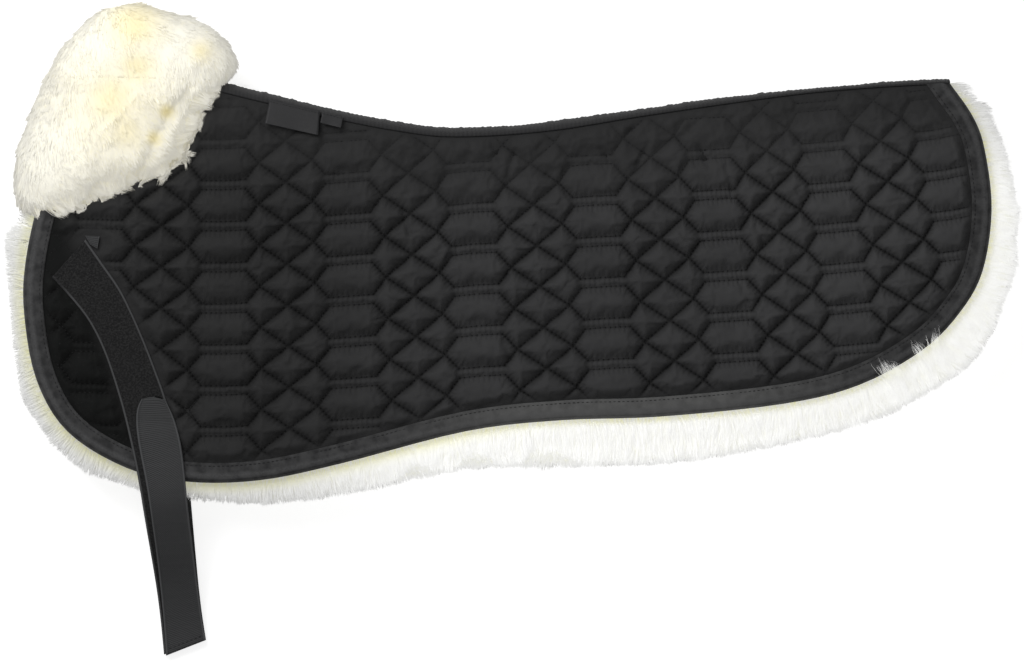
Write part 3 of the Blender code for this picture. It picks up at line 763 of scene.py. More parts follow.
def made_from(helper):
    """A new mesh of a helper with its modifiers. The helper is removed."""
    bpy.context.view_layer.update()
    graph = bpy.context.evaluated_depsgraph_get()
    mesh = bpy.data.meshes.new_from_object(helper.evaluated_get(graph))
    bpy.data.objects.remove(helper)
    return mesh


def drawn(along):
    """How far the pattern is drawn aside, by the place along its rows."""
    place, *shifts = PATTERN_DRAWN.T
    return np.stack([np.interp(along, place, shift) for shift in shifts], axis=1)


def pattern_place(places):
    """From plan to the sewn pattern's own plane, whose rows bend up towards the rear of the panel."""
    arm = places - PATTERN_CENTRE
    turn = np.arctan2(arm[:, 0], -arm[:, 1])
    reach = np.hypot(arm[:, 0], arm[:, 1])
    laid = np.stack([turn * PATTERN_BEND, PATTERN_BEND - reach - PATTERN_ROW_SHIFT], axis=1)
    first = laid - drawn(laid[:, 0])
    second = laid - drawn(first[:, 0])
    return laid - drawn(second[:, 0])


def on_panel(places):
    """From the pattern's plane back to plan."""
    laid = places + drawn(places[:, 0])
    turn = laid[:, 0] / PATTERN_BEND
    reach = PATTERN_BEND - laid[:, 1] - PATTERN_ROW_SHIFT
    return PATTERN_CENTRE + np.stack([np.sin(turn), -np.cos(turn)], axis=1) * reach[:, None]


# The seams of a quarter of the pattern: their ends, and the stitches counted at each end
SEAMS = (
    (np.array([0, HEXAGON_HALF_HEIGHT]), np.array([HEXAGON_SHOULDER, HEXAGON_HALF_HEIGHT]), -4.5, 0.0),
    (np.array([HEXAGON_SHOULDER, HEXAGON_HALF_HEIGHT]), np.array([HEXAGON_TIP, 0]), 0.0, 5.0),
    (np.array([HEXAGON_TIP, 0]), np.array([PATTERN_LENGTH, PATTERN_HEIGHT]) / 2, 5.0, 12.0),
)


def folded_in(places):
    """Folds the pattern's plane onto the quarter that repeats, and says which way places were turned."""
    half = np.array([PATTERN_LENGTH, PATTERN_HEIGHT]) / 2
    offset = (places + half) % (2 * half) - half
    return np.abs(offset), np.where(offset < 0, -1, 1)


def seam_near(places):
    """In the pattern's plane: the distance to the nearest seam, the foot on it, and the stitch count."""
    folded, turned = folded_in(places)
    best = np.full(len(places), np.inf)
    foot = np.zeros_like(places)
    count = np.zeros(len(places))
    for start, end, first, last in SEAMS:
        run = end - start
        share = np.clip((folded - start) @ run / (run @ run), 0, 1)
        point = start + share[:, None] * run
        gap = np.linalg.norm(folded - point, axis=1)
        closer = gap < best
        best[closer] = gap[closer]
        foot[closer] = point[closer]
        count[closer] = (first + (last - first) * share)[closer]
    return best, places + turned * (foot - folded), count


def quilting_share(places):
    """1 where the padding is free to rise, and 0 at the edges, under the strap and under the roll."""
    lines = (BOUND_LINE, SPINE_LINE, STRAP_MIDDLE, ROLL_FOOT)
    bound, spine, tape_middle, roll = (distance_to(line, places) for line in lines)
    roll[inside(ROLL_FOOT, places)] *= -1
    flap = np.linalg.norm(places - ROOT_FLAP.mean(axis=0), axis=1)
    share = ease(bound, 12.6 * MM, 19 * MM) * ease(spine, 1.5 * MM, 9 * MM)
    share = share * ease(flap, 6 * MM, 13 * MM) * ease(tape_middle, 13.5 * MM, 20 * MM)
    return share * ease(roll, -8 * MM, 7 * MM)


def pillows(places):
    """How far the wadding lifts the cotton above its seams."""
    on_pattern = pattern_place(places)
    distance, _, _ = seam_near(on_pattern)
    folded, _ = folded_in(on_pattern)
    crown = 1 - (1 - np.clip(distance / PILLOW_REACH, 0, 1)) ** PILLOW_ROUNDNESS
    strip = (1 - ease(folded[:, 0], 11 * MM, 18 * MM)) * (folded[:, 1] > HEXAGON_HALF_HEIGHT)
    uneven = 1 + 0.12 * ripple(places, 60 * MM, 3)
    tight = 0.40 + 0.60 * drawn_flat(places)
    return PILLOW * crown * (1 - 0.5 * strip) * quilting_share(places) * uneven * tight


def drawn_flat(places):
    """Where the folded pad pulls the cotton tight: 0 along the spine, 1 in the middle of the panel."""
    return ease(distance_to(SPINE_LINE, places), 4 * MM, 62 * MM)


def creases(places):
    """Wrinkles: slanting ones under the hollow of the spine, and upright ones among the diamonds."""
    tight = 1 - drawn_flat(places)
    hollow = 1 - ease(np.abs(places[:, 0] - 35 * MM), 60 * MM, 190 * MM)
    slanting = places @ np.array([[0.80, 0.25], [-0.60, 0.30]])
    deep = np.maximum(0, ripple(slanting, 15 * MM, 11) - 0.5) ** 1.5
    upright = places * np.array([1.0, 0.22])
    drawn_up = np.maximum(0, ripple(upright, 19 * MM, 14) - 0.75)
    fine = ripple(places, 9 * MM, 12) * ripple(places, 45 * MM, 13)
    depth = 1.5 * deep * tight * (0.35 + 0.65 * hollow) + 0.9 * drawn_up * (1 - 0.5 * tight)
    depth = depth - 0.12 * fine
    for wrinkle in WRINKLES:
        depth += 1.7 * np.exp(-((distance_to(wrinkle, places) / (1.7 * MM)) ** 2))
    return -depth * MM * quilting_share(places)


def settled(bm, held):
    """Blows the open sheet of cotton up as cloth, held along its seams, and keeps where it comes to."""
    start = points_of(bm)
    sheet = added("cotton_as_cloth", mesh_of(bm.copy()))
    group = sheet.vertex_groups.new(name="sewn")
    group.add([int(index) for index in np.flatnonzero(held)], 1.0, "REPLACE")
    cloth = sheet.modifiers.new("cloth", "CLOTH")
    settings = cloth.settings
    settings.quality = 4
    settings.vertex_group_mass = "sewn"
    settings.use_pressure = True
    settings.uniform_pressure_force = 4.0
    settings.shrink_min = -0.035
    settings.tension_stiffness = 15
    settings.compression_stiffness = 15
    settings.shear_stiffness = 8
    settings.bending_stiffness = 0.4
    settings.effector_weights.gravity = 0
    cloth.collision_settings.use_collision = False
    cloth.collision_settings.use_self_collision = False
    for moment in range(1, CLOTH_FRAMES + 1):
        bpy.context.scene.frame_set(moment)
    moved = points_of(made_from(sheet)) - start
    bpy.context.scene.frame_set(1)
    length = np.linalg.norm(moved, axis=1, keepdims=True)
    return start + moved * np.minimum(1, CLOTH_REACH / np.maximum(length, 1e-9))


def snapped_to_seams(bm, pitch):
    """Moves the points that lie by a seam onto it, so that its valley runs true."""
    points = points_of(bm)
    on_pattern = pattern_place(points[:, :2])
    distance, foot, _ = seam_near(on_pattern)
    free = np.array([not vert.is_boundary for vert in bm.verts])
    close = (distance < 0.5 * pitch) & free
    points[close, :2] = on_panel(foot[close])
    put(bm, points)


def quilted_cover(prefix, side):
    """The quilted cotton, crowned over its wadding between the seams."""
    pitch = COTTON_PITCH[side]
    bm = trimmed_grid(CUT_EDGE, pitch)
    snapped_to_seams(bm, pitch)
    points = points_of(bm)
    places = points[:, :2]
    points[:, 2] = COVER_TOP + pillows(places)
    put(bm, points)
    on_pattern = pattern_place(places)
    distance, _, count = seam_near(on_pattern)
    free = quilting_share(places)
    points = settled(bm, (distance < 0.3 * pitch) | (free < 0.12))
    points[:, 2] += creases(places)
    ceiling = STRAP_UNDER - 0.1 * MM + 60 * MM * ease(free, 0.0, 0.25)
    points[:, 2] = np.minimum(points[:, 2], ceiling)
    put(bm, points)
    close_below(bm, CUT_EDGE, ((0, COVER_UNDER),))
    drape_mesh(bm, side)
    if side == OFF:
        keep_above_floor(bm)
    mesh = mesh_of(bm)
    from_middle, _ = folded_in(on_pattern)
    # What the finish reads on the face, and below it
    reads = {
        "seam_distance": (distance / MM, 20.0),
        "padded": (drawn_flat(places) * free, 0.0),
        "stitch_count": (count, 0.0),
        "ladder": (1 - ease(from_middle[:, 0], 10 * MM, 15 * MM), 0.0),
    }
    for name, (values, below) in reads.items():
        mark(mesh, name, np.append(values, np.full(len(mesh.vertices) - len(values), below)))
    made = piece(prefix + "quilted_cotton", mesh, "cotton", prefix + "panel",
                 prefix + "quilted_cover")


def stitch_shape():
    bm = bmesh.new()
    bmesh.ops.create_uvsphere(bm, u_segments=5, v_segments=3, radius=0.5)
    return bm


def sewn(name, starts, ends, side, gap, thickness, body):
    """Stitches from starts to ends, less a share of their length at both, on a layer of one side."""
    trim = (ends - starts) * gap
    starts, ends = starts + trim, ends - trim
    mesh, shape = repeated(stitch_shape(), len(starts))
    along = ends - starts
    across = unit(np.cross([0, 0, float(side)], along)) * thickness
    rise = unit(np.cross(along, across)) * thickness * 0.7
    spread = (starts + ends)[:, None] / 2 + shape[None, :, :1] * along[:, None]
    spread = spread + shape[None, :, 1:2] * across[:, None] + shape[None, :, 2:3] * rise[:, None]
    move(mesh, spread)
    piece(name, mesh, "thread", body)


def quilting_stitches(prefix, side):
    """A stitch for each count along every seam, where the quilting shows."""
    starts, ends = [], []
    for first_point, last_point, first, last in SEAMS:
        counts = np.arange(math.ceil(first), last)
        for across in (1, -1):
            for down in (1, -1):
                shares = (np.stack([counts, counts + 1]) - first) / (last - first)
                pair = first_point + shares[..., None] * (last_point - first_point)
                pair = pair * np.array([across, down])
                starts.append(pair[0])
                ends.append(pair[1])
    starts, ends = np.vstack(starts), np.vstack(ends)
    keep = np.linalg.norm(ends - starts, axis=1) > 0
    middles = np.round((starts + ends)[keep] * 1e5)
    _, single = np.unique(middles, axis=0, return_index=True)
    starts, ends = starts[keep][single], ends[keep][single]
    columns, rows = range(-2, 8), range(-8, 9)
    shifts = np.array([(c * PATTERN_LENGTH, r * PATTERN_HEIGHT) for c in columns for r in rows])
    starts = on_panel((starts[None] + shifts[:, None]).reshape(-1, 2))
    ends = on_panel((ends[None] + shifts[:, None]).reshape(-1, 2))
    middle = (starts + ends) / 2
    shown = inside(inset(PANEL, 3 * MM), middle) & (distance_to(BOUND_LINE, middle) > BINDING_CLEAR)
    shown &= ~inside(inset(ROLL_FOOT[:-1], 6 * MM), middle)
    starts, ends = starts[shown], ends[shown]
    trim = (ends - starts) * 0.12
    height = COVER_TOP + 0.12 * MM
    starts, ends = laid_line(starts + trim, height, side), laid_line(ends - trim, height, side)
    sewn(prefix + "quilting_thread", starts, ends, side, 0, 0.42 * MM, prefix + "panel")


def plain_layer(prefix, side, name, outline, over, profile, finish, node):
    """A closed layer of even height."""
    bm = trimmed_grid(outline, PLAIN_PITCH)
    points = points_of(bm)
    points[:, 2] = over
    put(bm, points)
    close_below(bm, outline, profile)
    drape_mesh(bm, side)
    piece(prefix + name, mesh_of(bm), finish, prefix + "panel", prefix + node)


def to_spine_side():
    """Square to the spine's rear end, away from the panel."""
    return -to_the_right(unit(SPINE_LINE[-1] - SPINE_LINE[-2]))


def edge_binding(prefix, side):
    """Tape folded round the edge: a lip on the cotton, a round nose, and a lip under the hide."""
    start = BOUND_LINE[0] - unit(BOUND_LINE[1] - BOUND_LINE[0]) * BINDING_WIDTH
    spacing = 2.0 * MM
    line = spaced(np.vstack([start, BOUND_LINE]), spacing)
    inwards = to_the_right(unit(np.gradient(line, axis=0)))
    top, under = COVER_TOP + GAP, HIDE_EDGE_UNDER - GAP
    outer = (
        (12.5, top + 0.35 * MM), (12.2, top + 0.75 * MM), (11.6, top + 0.9 * MM),
        (10.6, top + 0.78 * MM), (9.6, top + 0.9 * MM), (7.0, top + 1.0 * MM), (5.0, top + 0.95 * MM),
        (3.4, top + 0.6 * MM), (1.9, top - 0.15 * MM), (0.8, top - 1.4 * MM),
        (0.15, (top + under) / 2 + 0.8 * MM), (0.15, (top + under) / 2 - 0.8 * MM),
        (0.8, under + 1.2 * MM), (1.9, under + 0.1 * MM), (3.4, under - 0.6 * MM),
        (6.0, under - 0.9 * MM), (10.0, under - 0.9 * MM), (10.5, under - 0.45 * MM),
        (10.4, under), (6.0, under), (1.9, under), (1.9, top), (6.0, top), (12.3, top),
    )
    section = closed(np.array([(across * MM, up) for across, up in outer]))
    reach = np.arange(len(line))[:, None] * spacing
    puckers = 0.10 * np.sin(reach / STITCH * 2 * math.pi) * (section[:, 0] > 9 * MM)
    above = section[:, 1] > top
    sway = 0.18 * ripple(np.column_stack([reach, reach * 0]), 28 * MM, 5)[:, None] * above
    rows = np.empty((len(line), len(section), 3))
    rows[..., :2] = line[:, None] + inwards[:, None] * section[None, :, :1]
    rows[..., 2] = section[:, 1] + (puckers + sway * (section[:, 0] > 2 * MM)) * MM * above
    rows[:, -1] = rows[:, 0]
    bm = skin(rows)
    halved(bm, (*BOUND_LINE[0], 0), (*-to_spine_side(), 0))
    drape_mesh(bm, side)
    mesh = mesh_of(bm)
    distance = distance_to(BOUND_LINE, points_of(mesh)[:, :2])
    # Where the finish paints a highlight along the crest of the tape.
    mark(mesh, "crest_highlight", 1 - ease(np.abs(distance - 4.5 * MM), 0.5 * MM, 2.5 * MM))
    piece(prefix + "edge_binding_tape", mesh, "binding", prefix + "panel",
          prefix + "edge_binding")
    stitched = spaced(line + inwards * 10.6 * MM, STITCH)
    stitched = stitched[(stitched - BOUND_LINE[0]) @ to_spine_side() < 0]
    row = laid_line(stitched, top + 0.88 * MM, side)
    sewn(prefix + "binding_thread", row[:-1], row[1:], side, 0.13, SEWING_THREAD, prefix + "panel")


def relaxed(line):
    """The line with its kinks eased out and its ends kept."""
    for _ in range(90):
        line = np.vstack([line[:1], (line[:-2] + 2 * line[1:-1] + line[2:]) / 4, line[-1:]])
    return line


def tape(left, right, under, side, ridge, point=((0, 0), (1, 0))):
    """A flat tape between two edges, with raised selvedges: rows of points, and what its finish reads.

    Its upper end stands out by the point table, by the share across and the distance.
    """
    left, right = relaxed(smooth_line(left, 14)), relaxed(smooth_line(right, 14))
    across = np.array([
        0, 0.01, 0.024, 0.04, 0.055, 0.12, 0.3, 0.5, 0.7, 0.88, 0.945, 0.96, 0.976, 0.99, 1,
    ])
    edge = np.minimum(across, 1 - across)
    raised = np.interp(edge, [0, 0.01, 0.024, 0.04, 0.055, 0.12], [0.35, 0.8, 1.0, 1.0, 0.84, 0.9])
    top = under + STRAP * raised + ridge * ((edge > 0.02) & (edge < 0.05))
    shares = np.concatenate([across, across[::-1], across[:1]])
    heights = np.concatenate([np.full(len(across), under), top[::-1], [under]])
    lip = np.concatenate([np.zeros(len(across)), ((edge > 0.005) & (edge < 0.05))[::-1], [0]])
    rows = np.empty((len(left), len(shares), 3))
    rows[..., :2] = left[:, None] + (right - left)[:, None] * shares[None, :, None]
    upwards = unit((left[0] + right[0]) - (left[14] + right[14]))
    fading = np.linspace(1, 0, 12)[:, None, None] ** 2
    rows[:12, :, :2] += fading * np.interp(shares, *zip(*point))[None, :, None] * upwards
    rows[..., 2] = heights + read_off(BINDING_STEP, rows[..., 1])
    if side == NEAR:
        rows[..., 2] -= read_off(NEAR_FALL, rows[..., 1])
    reach = reach_along((left + right) / 2)
    return rows, np.broadcast_to(lip, rows.shape[:2]), np.broadcast_to(reach[:, None], rows.shape[:2])


def nearest_of(points, places):
    """For each place, which of the points lies nearest to it."""
    tree = KDTree(len(points))
    for index, point in enumerate(points):
        tree.insert(point, index)
    tree.balance()
    return np.array([tree.find(place)[1] for place in places])


def tape_mesh(rows, lip, reach, side):
    laid = drape(rows, side)
    mesh = mesh_of(skin(laid))
    found = nearest_of(laid.reshape(-1, 3), points_of(mesh))
    mark(mesh, "selvedge", lip.reshape(-1)[found])
    mark(mesh, "down_tape", reach.reshape(-1)[found])
    return mesh


def strap(prefix, side):
    """The strap of loop tape, sewn down at its upper end, and the hook tape sewn to its lower end."""
    rows, lip, reach = tape(LOOP_TAPE_LEFT, LOOP_TAPE_RIGHT, STRAP_UNDER, side, 0.18 * MM)
    # Painted shade: the left selvedge loses its paler colour towards the strap's upper end, where the
    # roll's shadow falls.
    at_left = rows[..., 0] < rows[..., 0].mean(axis=1, keepdims=True)
    lip = lip * np.where(at_left, 1 - 0.8 * ease(rows[..., 1], 20 * MM, 30 * MM), 1)
    loop = piece(prefix + "loop_tape", tape_mesh(rows, lip, reach, side), "loop",
                 node=prefix + "strap_loop_tape")
    root = drape(rows[[4, 14], 7], side)
    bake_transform(loop)
    above = STRAP_UNDER + STRAP + GAP
    cut_corner = ((0, 0), (0.25, 1.6 * MM), (0.75, 3.2 * MM), (1, 0))
    rows, lip, reach = tape(HOOK_TAPE_LEFT, HOOK_TAPE_RIGHT, above, side, 0.12 * MM, cut_corner)
    hook = piece(prefix + "hook_tape", tape_mesh(rows, lip, reach, side), "hook",
                 node=prefix + "strap_hook_tape")
    tip = drape(rows[[-1, -12], 7], side)
    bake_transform(hook)
    end_row(prefix, side, above + STRAP)
    root_row(prefix, side)
    root_flap(prefix, side)


def root_flap(prefix, side):
    """The corner of the tape that is turned over at the strap's upper end."""
    left_top, right_top, right_low, left_low = ROOT_FLAP
    left = np.array([left_top, (left_top + left_low) / 2, left_low])
    right = np.array([right_top, (right_top + right_low) / 2, right_low])
    rows, lip, reach = tape(left, right, STRAP_UNDER + STRAP + 0.1 * MM, side, 0.1 * MM)
    mesh = tape_mesh(rows, lip, reach, side)
    piece(prefix + "strap_flap", mesh, "hook", prefix + "panel")


def end_row(prefix, side, height):
    """The row of stitches that joins the two tapes at their lower end."""
    line = spaced(plan((-215.5, -198.6), (-194.5, -190.4)), STITCH)
    drop = read_off(BINDING_STEP, line[:, 1]) - (read_off(NEAR_FALL, line[:, 1]) if side == NEAR else 0)
    row = laid_line(line, height + drop, side)
    sewn(prefix + "strap_end_thread", row[:-1], row[1:], side, 0.14, SEWING_THREAD, prefix + "strap")


def root_row(prefix, side):
    """The rows of stitches that hold the strap's upper end."""
    rows = []
    for share in (0.12, 0.30):
        left, right = (between(edge[0], edge[1], share) for edge in (LOOP_TAPE_LEFT, LOOP_TAPE_RIGHT))
        line = spaced(np.array([between(left, right, 0.08), between(left, right, 0.92)]), STITCH)
        rows.append(laid_line(line, STRAP_UNDER + STRAP * 0.92, side))
    starts, ends = np.vstack([row[:-1] for row in rows]), np.vstack([row[1:] for row in rows])
    sewn(prefix + "strap_root_thread", starts, ends, side, 0.14, SEWING_THREAD, prefix + "panel")


def spine_band():
    """Ribbed webbing that bulges round the fold, with a lip sewn down on each panel's cotton."""
    spacing = 0.7 * MM
    line = spaced(SPINE_LINE[SPINE_LINE[:, 0] > -184 * MM], spacing)
    reach = np.arange(len(line)) * spacing
    places = np.column_stack([reach, reach * 0])
    ribs = 0.5 + 0.5 * np.cos(2 * math.pi * reach / (2.6 * MM) + 1.5 * ripple(places, 40 * MM, 21))
    bulge = np.interp(line[:, 0], BAND_BULGE[:, 0], BAND_BULGE[:, 1])
    bulge = np.convolve(np.pad(bulge, 12, mode="edge"), np.full(25, 1 / 25), mode="valid")
    turns = np.radians(np.arange(80, -81, -10))
    swell = (0.30 * ribs + 0.45 * np.abs(ripple(places, 9 * MM, 22)))[:, None] * MM * np.cos(turns) ** 2
    low, high = COVER_TOP + 0.1 * MM, COVER_TOP + 1.1 * MM
    foot = line[:, 1:]
    edge = foot - 0.5 * MM
    outside = foot + bulge[:, None] * np.cos(turns) + swell
    hollow = foot + np.maximum(bulge - 1.2 * MM, 0.4 * MM)[:, None] * np.cos(turns[::-1])
    # The places in Y and Z round the band: its outside from the near panel to the off one, and back
    # within
    columns = (
        (edge, (low + high) / 2), (edge + 0.4 * MM, high), (outside, high * np.sin(turns)),
        (edge + 0.4 * MM, -high), (edge, -(low + high) / 2), (edge + 0.2 * MM, -low),
        (foot + 0.3 * MM, -low), (hollow, (low - 0.2 * MM) * np.sin(turns[::-1])),
        (foot + 0.3 * MM, low), (edge + 0.2 * MM, low), (edge, (low + high) / 2),
    )
    ys = np.hstack([y for y, _ in columns])
    zs = np.hstack([np.broadcast_to(z, y.shape) for y, z in columns])
    rows = drape(np.stack([np.broadcast_to(line[:, :1], ys.shape), ys, zs], axis=-1), NEAR)
    mesh = mesh_of(skin(rows))
    mark(mesh, "rib", np.interp(points_of(mesh)[:, 0], line[:, 0], ribs))
    made = piece("spine_band_webbing", mesh, "webbing", node="spine_band")
    bend_over_fold(made, np.array([0, 0.14, 31.2 * MM]), unit(np.array([0.028, 0, 1.0])) * 22 * MM)


def bend_over_fold(made, middle, reach):
    """Bakes the place of a piece that crosses the fold into its mesh."""
    tuple(middle - reach)
    tuple(middle + reach)
    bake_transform(made)


def tag(name, corners, seed):
    """A bare woven tag, folded double with its fold at the lower edge and a little curled."""
    left_top, right_top, right_low, left_low = corners
    thick, gap = 0.42 * MM, 0.12 * MM
    under, rise = COVER_TOP + 1.3 * MM, 2.8 * MM
    down = np.linspace(0, 1, 13)
    fold = np.radians(np.linspace(-90, 90, 7))[1:-1]
    ring = [(v, 0) for v in down] + [(1 + 0.03 * math.cos(a), (math.sin(a) + 1) / 2) for a in fold]
    ring += [(v, 1) for v in down[::-1]] + [(v, 0.5 + gap / (4 * thick)) for v in down[:-1]]
    ring += [(v, 0.5 - gap / (4 * thick)) for v in down[:-1][::-1]]
    ring = closed(np.array(ring))
    rows = np.empty((25, len(ring), 3))
    for row, share in zip(rows, np.linspace(0, 1, len(rows))):
        top, low = between(left_top, right_top, share), between(left_low, right_low, share)
        row[:, :2] = top + (low - top) * ring[:, :1]
        curl = 0.5 * (share - 0.5) ** 2 * 4 + 0.6 * ring[:, 0] ** 2
        wave = 0.18 * math.sin(share * 7 + seed)
        lifted = under + rise * ring[:, 0] + (curl * 0.5 + wave) * ring[:, 0] * MM
        row[:, 2] = lifted + ring[:, 1] * (2 * thick + gap)
    piece(name + "_cloth", mesh_of(skin(drape(rows, NEAR))), "tag", "near_panel", name)
    ends = (between(left_top, left_low, 0.1), between(right_top, right_low, 0.1))
    line = spaced(np.array(ends), 2.0 * MM)
    row = laid_line(line, under + 0.1 * rise + 2 * thick + gap + 0.1 * MM, NEAR)
    sewn(name + "_thread", row[:-1], row[1:], NEAR, 0.12, 0.4 * MM, "near_panel")


def scattered(mesh, count, seed, weight):
    """Places spread over a mesh by its area times a weight, with the mesh's normals there."""
    mesh.calc_loop_triangles()
    corners = points_of(mesh)[np.array([triangle.vertices[:] for triangle in mesh.loop_triangles])]
    normals = np.cross(corners[:, 1] - corners[:, 0], corners[:, 2] - corners[:, 0])
    area = np.linalg.norm(normals, axis=1)
    normals = unit(normals)
    chances = area * weight(corners.mean(axis=1), normals)
    draw = np.random.default_rng(seed)
    chosen = draw.choice(len(corners), count, p=chances / chances.sum())
    shares = draw.dirichlet((1, 1, 1), count)
    return (corners[chosen] * shares[..., None]).sum(axis=1), normals[chosen]


def strand_shape():
    """A three-sided strand that tapers to its tip at height 1."""
    bm = bmesh.new()
    bmesh.ops.create_cone(bm, cap_ends=True, segments=3, radius1=1, radius2=0, depth=1)
    bmesh.ops.translate(bm, vec=(0, 0, 0.5), verts=bm.verts)
    bmesh.ops.remove_doubles(bm, verts=bm.verts, dist=1e-5)
    for height in (0.4, 0.76):
        cut(bm, (0, 0, height), (0, 0, 1))
    return bm


def strands(roots, facing, stem, droop, lengths, thickness, seed, lock_size=14, gather=0.55,
            spread=1.0):
    """Tapered strands of wool that grow along stem and bend with droop, drawn together into locks.

    They are shaded mostly by the way that the wool's surface faces, so that they read as one soft coat.
    """
    draw = np.random.default_rng(seed)
    count = len(roots)
    mesh, shape = repeated(strand_shape(), count)
    heads = max(1, count // lock_size)
    owner = nearest_of(roots[:heads], roots)
    swerve = draw.normal(scale=0.16, size=(heads, 3))[owner] + draw.normal(scale=0.10, size=(count, 3))
    stem = unit(stem + spread * swerve)
    lengths = lengths * draw.uniform(0.8, 1.15, heads)[owner] * draw.uniform(0.9, 1.08, count)
    tips = roots + lengths[:, None] * (stem + droop)
    pull = gather * (tips[owner] - tips)
    height = shape[:, 2]
    angle = np.arctan2(shape[:, 1], shape[:, 0])
    across = unit(np.cross(stem, [0.31, 0.17, 0.93]))
    up = np.cross(stem, across)
    taper = np.where(height > 0.999, 0, 1 - 0.62 * height**1.5)
    width = thickness * draw.uniform(0.75, 1.25, count)
    phase = draw.uniform(0, 2 * math.pi, count)
    wave = 0.03 * lengths[:, None] * np.sin(5.0 * height[None] + phase[:, None]) * height[None]
    centre = roots[:, None] + lengths[:, None, None] * (
        stem[:, None] * height[:, None] + droop[:, None] * height[:, None] ** 2
    )
    centre = centre + pull[:, None] * height[:, None] ** 2 + wave[..., None] * across[:, None]
    radial = np.cos(angle)[None, :, None] * across[:, None] + np.sin(angle)[None, :, None] * up[:, None]
    points = centre + radial * (width[:, None] * taper[None])[..., None]
    shading = unit(facing[:, None] + 0.12 * radial)
    return mesh, points, np.broadcast_to(height, points.shape[:2]), shading


def kept_off_fold(made, side=1):
    """Keeps strands on their own side of the fold's middle surface."""
    heights = made[1][..., 2]
    heights[:] = side * np.maximum(side * heights, GAP)


def pile(name, made, side, body, finish, stain):
    """Makes the piece of a field of strands."""
    mesh, points, height, shading = made
    laid = drape(points, side)
    laid[..., 2] = np.maximum(laid[..., 2], 0.05 * MM)
    if side == OFF:
        mesh.flip_normals()
    move(mesh, laid)
    mark(mesh, "along", height.reshape(-1))
    mark(mesh, "stain", stain(points[..., :2].reshape(-1, 2)))
    finished = piece(name, mesh, finish, body)
    shading = shading * [1, 1, side]
    mesh.normals_split_custom_set_from_vertices(shading.reshape(-1, 3).tolist())
    return finished


def wool_body(name, mesh, along, stain, finish, body, node):
    """The plain body under a field of strands, and how far along a strand its colour lies."""
    mark(mesh, "along", np.full(len(mesh.vertices), along))
    mark(mesh, "stain", stain(points_of(mesh)[:, :2]))
    return piece(name, mesh, finish, body, node)


def wool_outline():
    """The lining's outline: back from the spine, past the bound edge, and within it under the roll."""
    lined = (SPINE_LINE[:, 0] > -232 * MM) & (SPINE_LINE[:, 0] < 258 * MM)
    spine = SPINE_LINE[lined] - [0, 15 * MM]
    return np.vstack([spine, smooth_line(WOOL_SPILL, 4), smooth_line(WOOL_UNDER_ROLL, 3)])


# The wool's height from its rim inwards, as (inset, share of the pile)
WOOL_EDGE = np.array([(-1.0, 0.30), (0, 0.42), (1.2, 0.66), (4.0, 0.88), (9.0, 1.0)])


def wool_height(from_rim):
    return WOOL_TOP * np.interp(from_rim / MM, WOOL_EDGE[:, 0], WOOL_EDGE[:, 1])


def fringe_roots(outline, count, seed):
    """Places on the wool from under the tape to the rim, the way outwards, and how far in they lie."""
    draw = np.random.default_rng(seed)
    line = spaced(BOUND_LINE, 1.0 * MM)
    wide = np.where(inside(outline, line), distance_to(closed(outline), line), 0)
    outwards = -to_the_right(unit(np.gradient(line, axis=0)))
    chosen = draw.choice(len(line), count, p=(wide + 6 * MM) / (wide + 6 * MM).sum())
    out = outwards[chosen] + draw.normal(scale=0.03, size=(count, 2))
    tucked = 5 * MM
    past = draw.uniform(0, 1, count) * (wide[chosen] + tucked) - tucked
    from_rim = wide[chosen] - past
    height = wool_height(from_rim) - 0.4 * MM
    low = draw.uniform(0, 1, count) < 0.22
    past = np.where(low, wide[chosen] - 0.5 * MM, past)
    height = np.where(low, draw.uniform(0.6, 6.5, count) * MM, height)
    roots = np.column_stack([line[chosen] + out * past[:, None], height])
    return roots, unit(out), np.where(low, 0, from_rim)


def past_the_tape(places):
    """The distance to the bound edge, and whether a place lies outside it."""
    distance, foot, right = nearest_on(BOUND_LINE, places)
    return distance, ((places - foot) * right).sum(axis=1) < 0


def by_the_tape(places):
    """The wool is yellow in a narrow line by the binding, and paler in a wide one at the pommel."""
    distance, beyond = past_the_tape(places)
    narrow = 0.9 * (1 - ease(distance, 0.5 * MM, 2.2 * MM))
    forward = 1 - ease(places[:, 0], -60 * MM, 40 * MM)
    return np.maximum(narrow, 0.5 * forward * (1 - ease(distance, 1 * MM, 9 * MM))) * beyond


def unstained(places):
    return np.zeros(len(places))


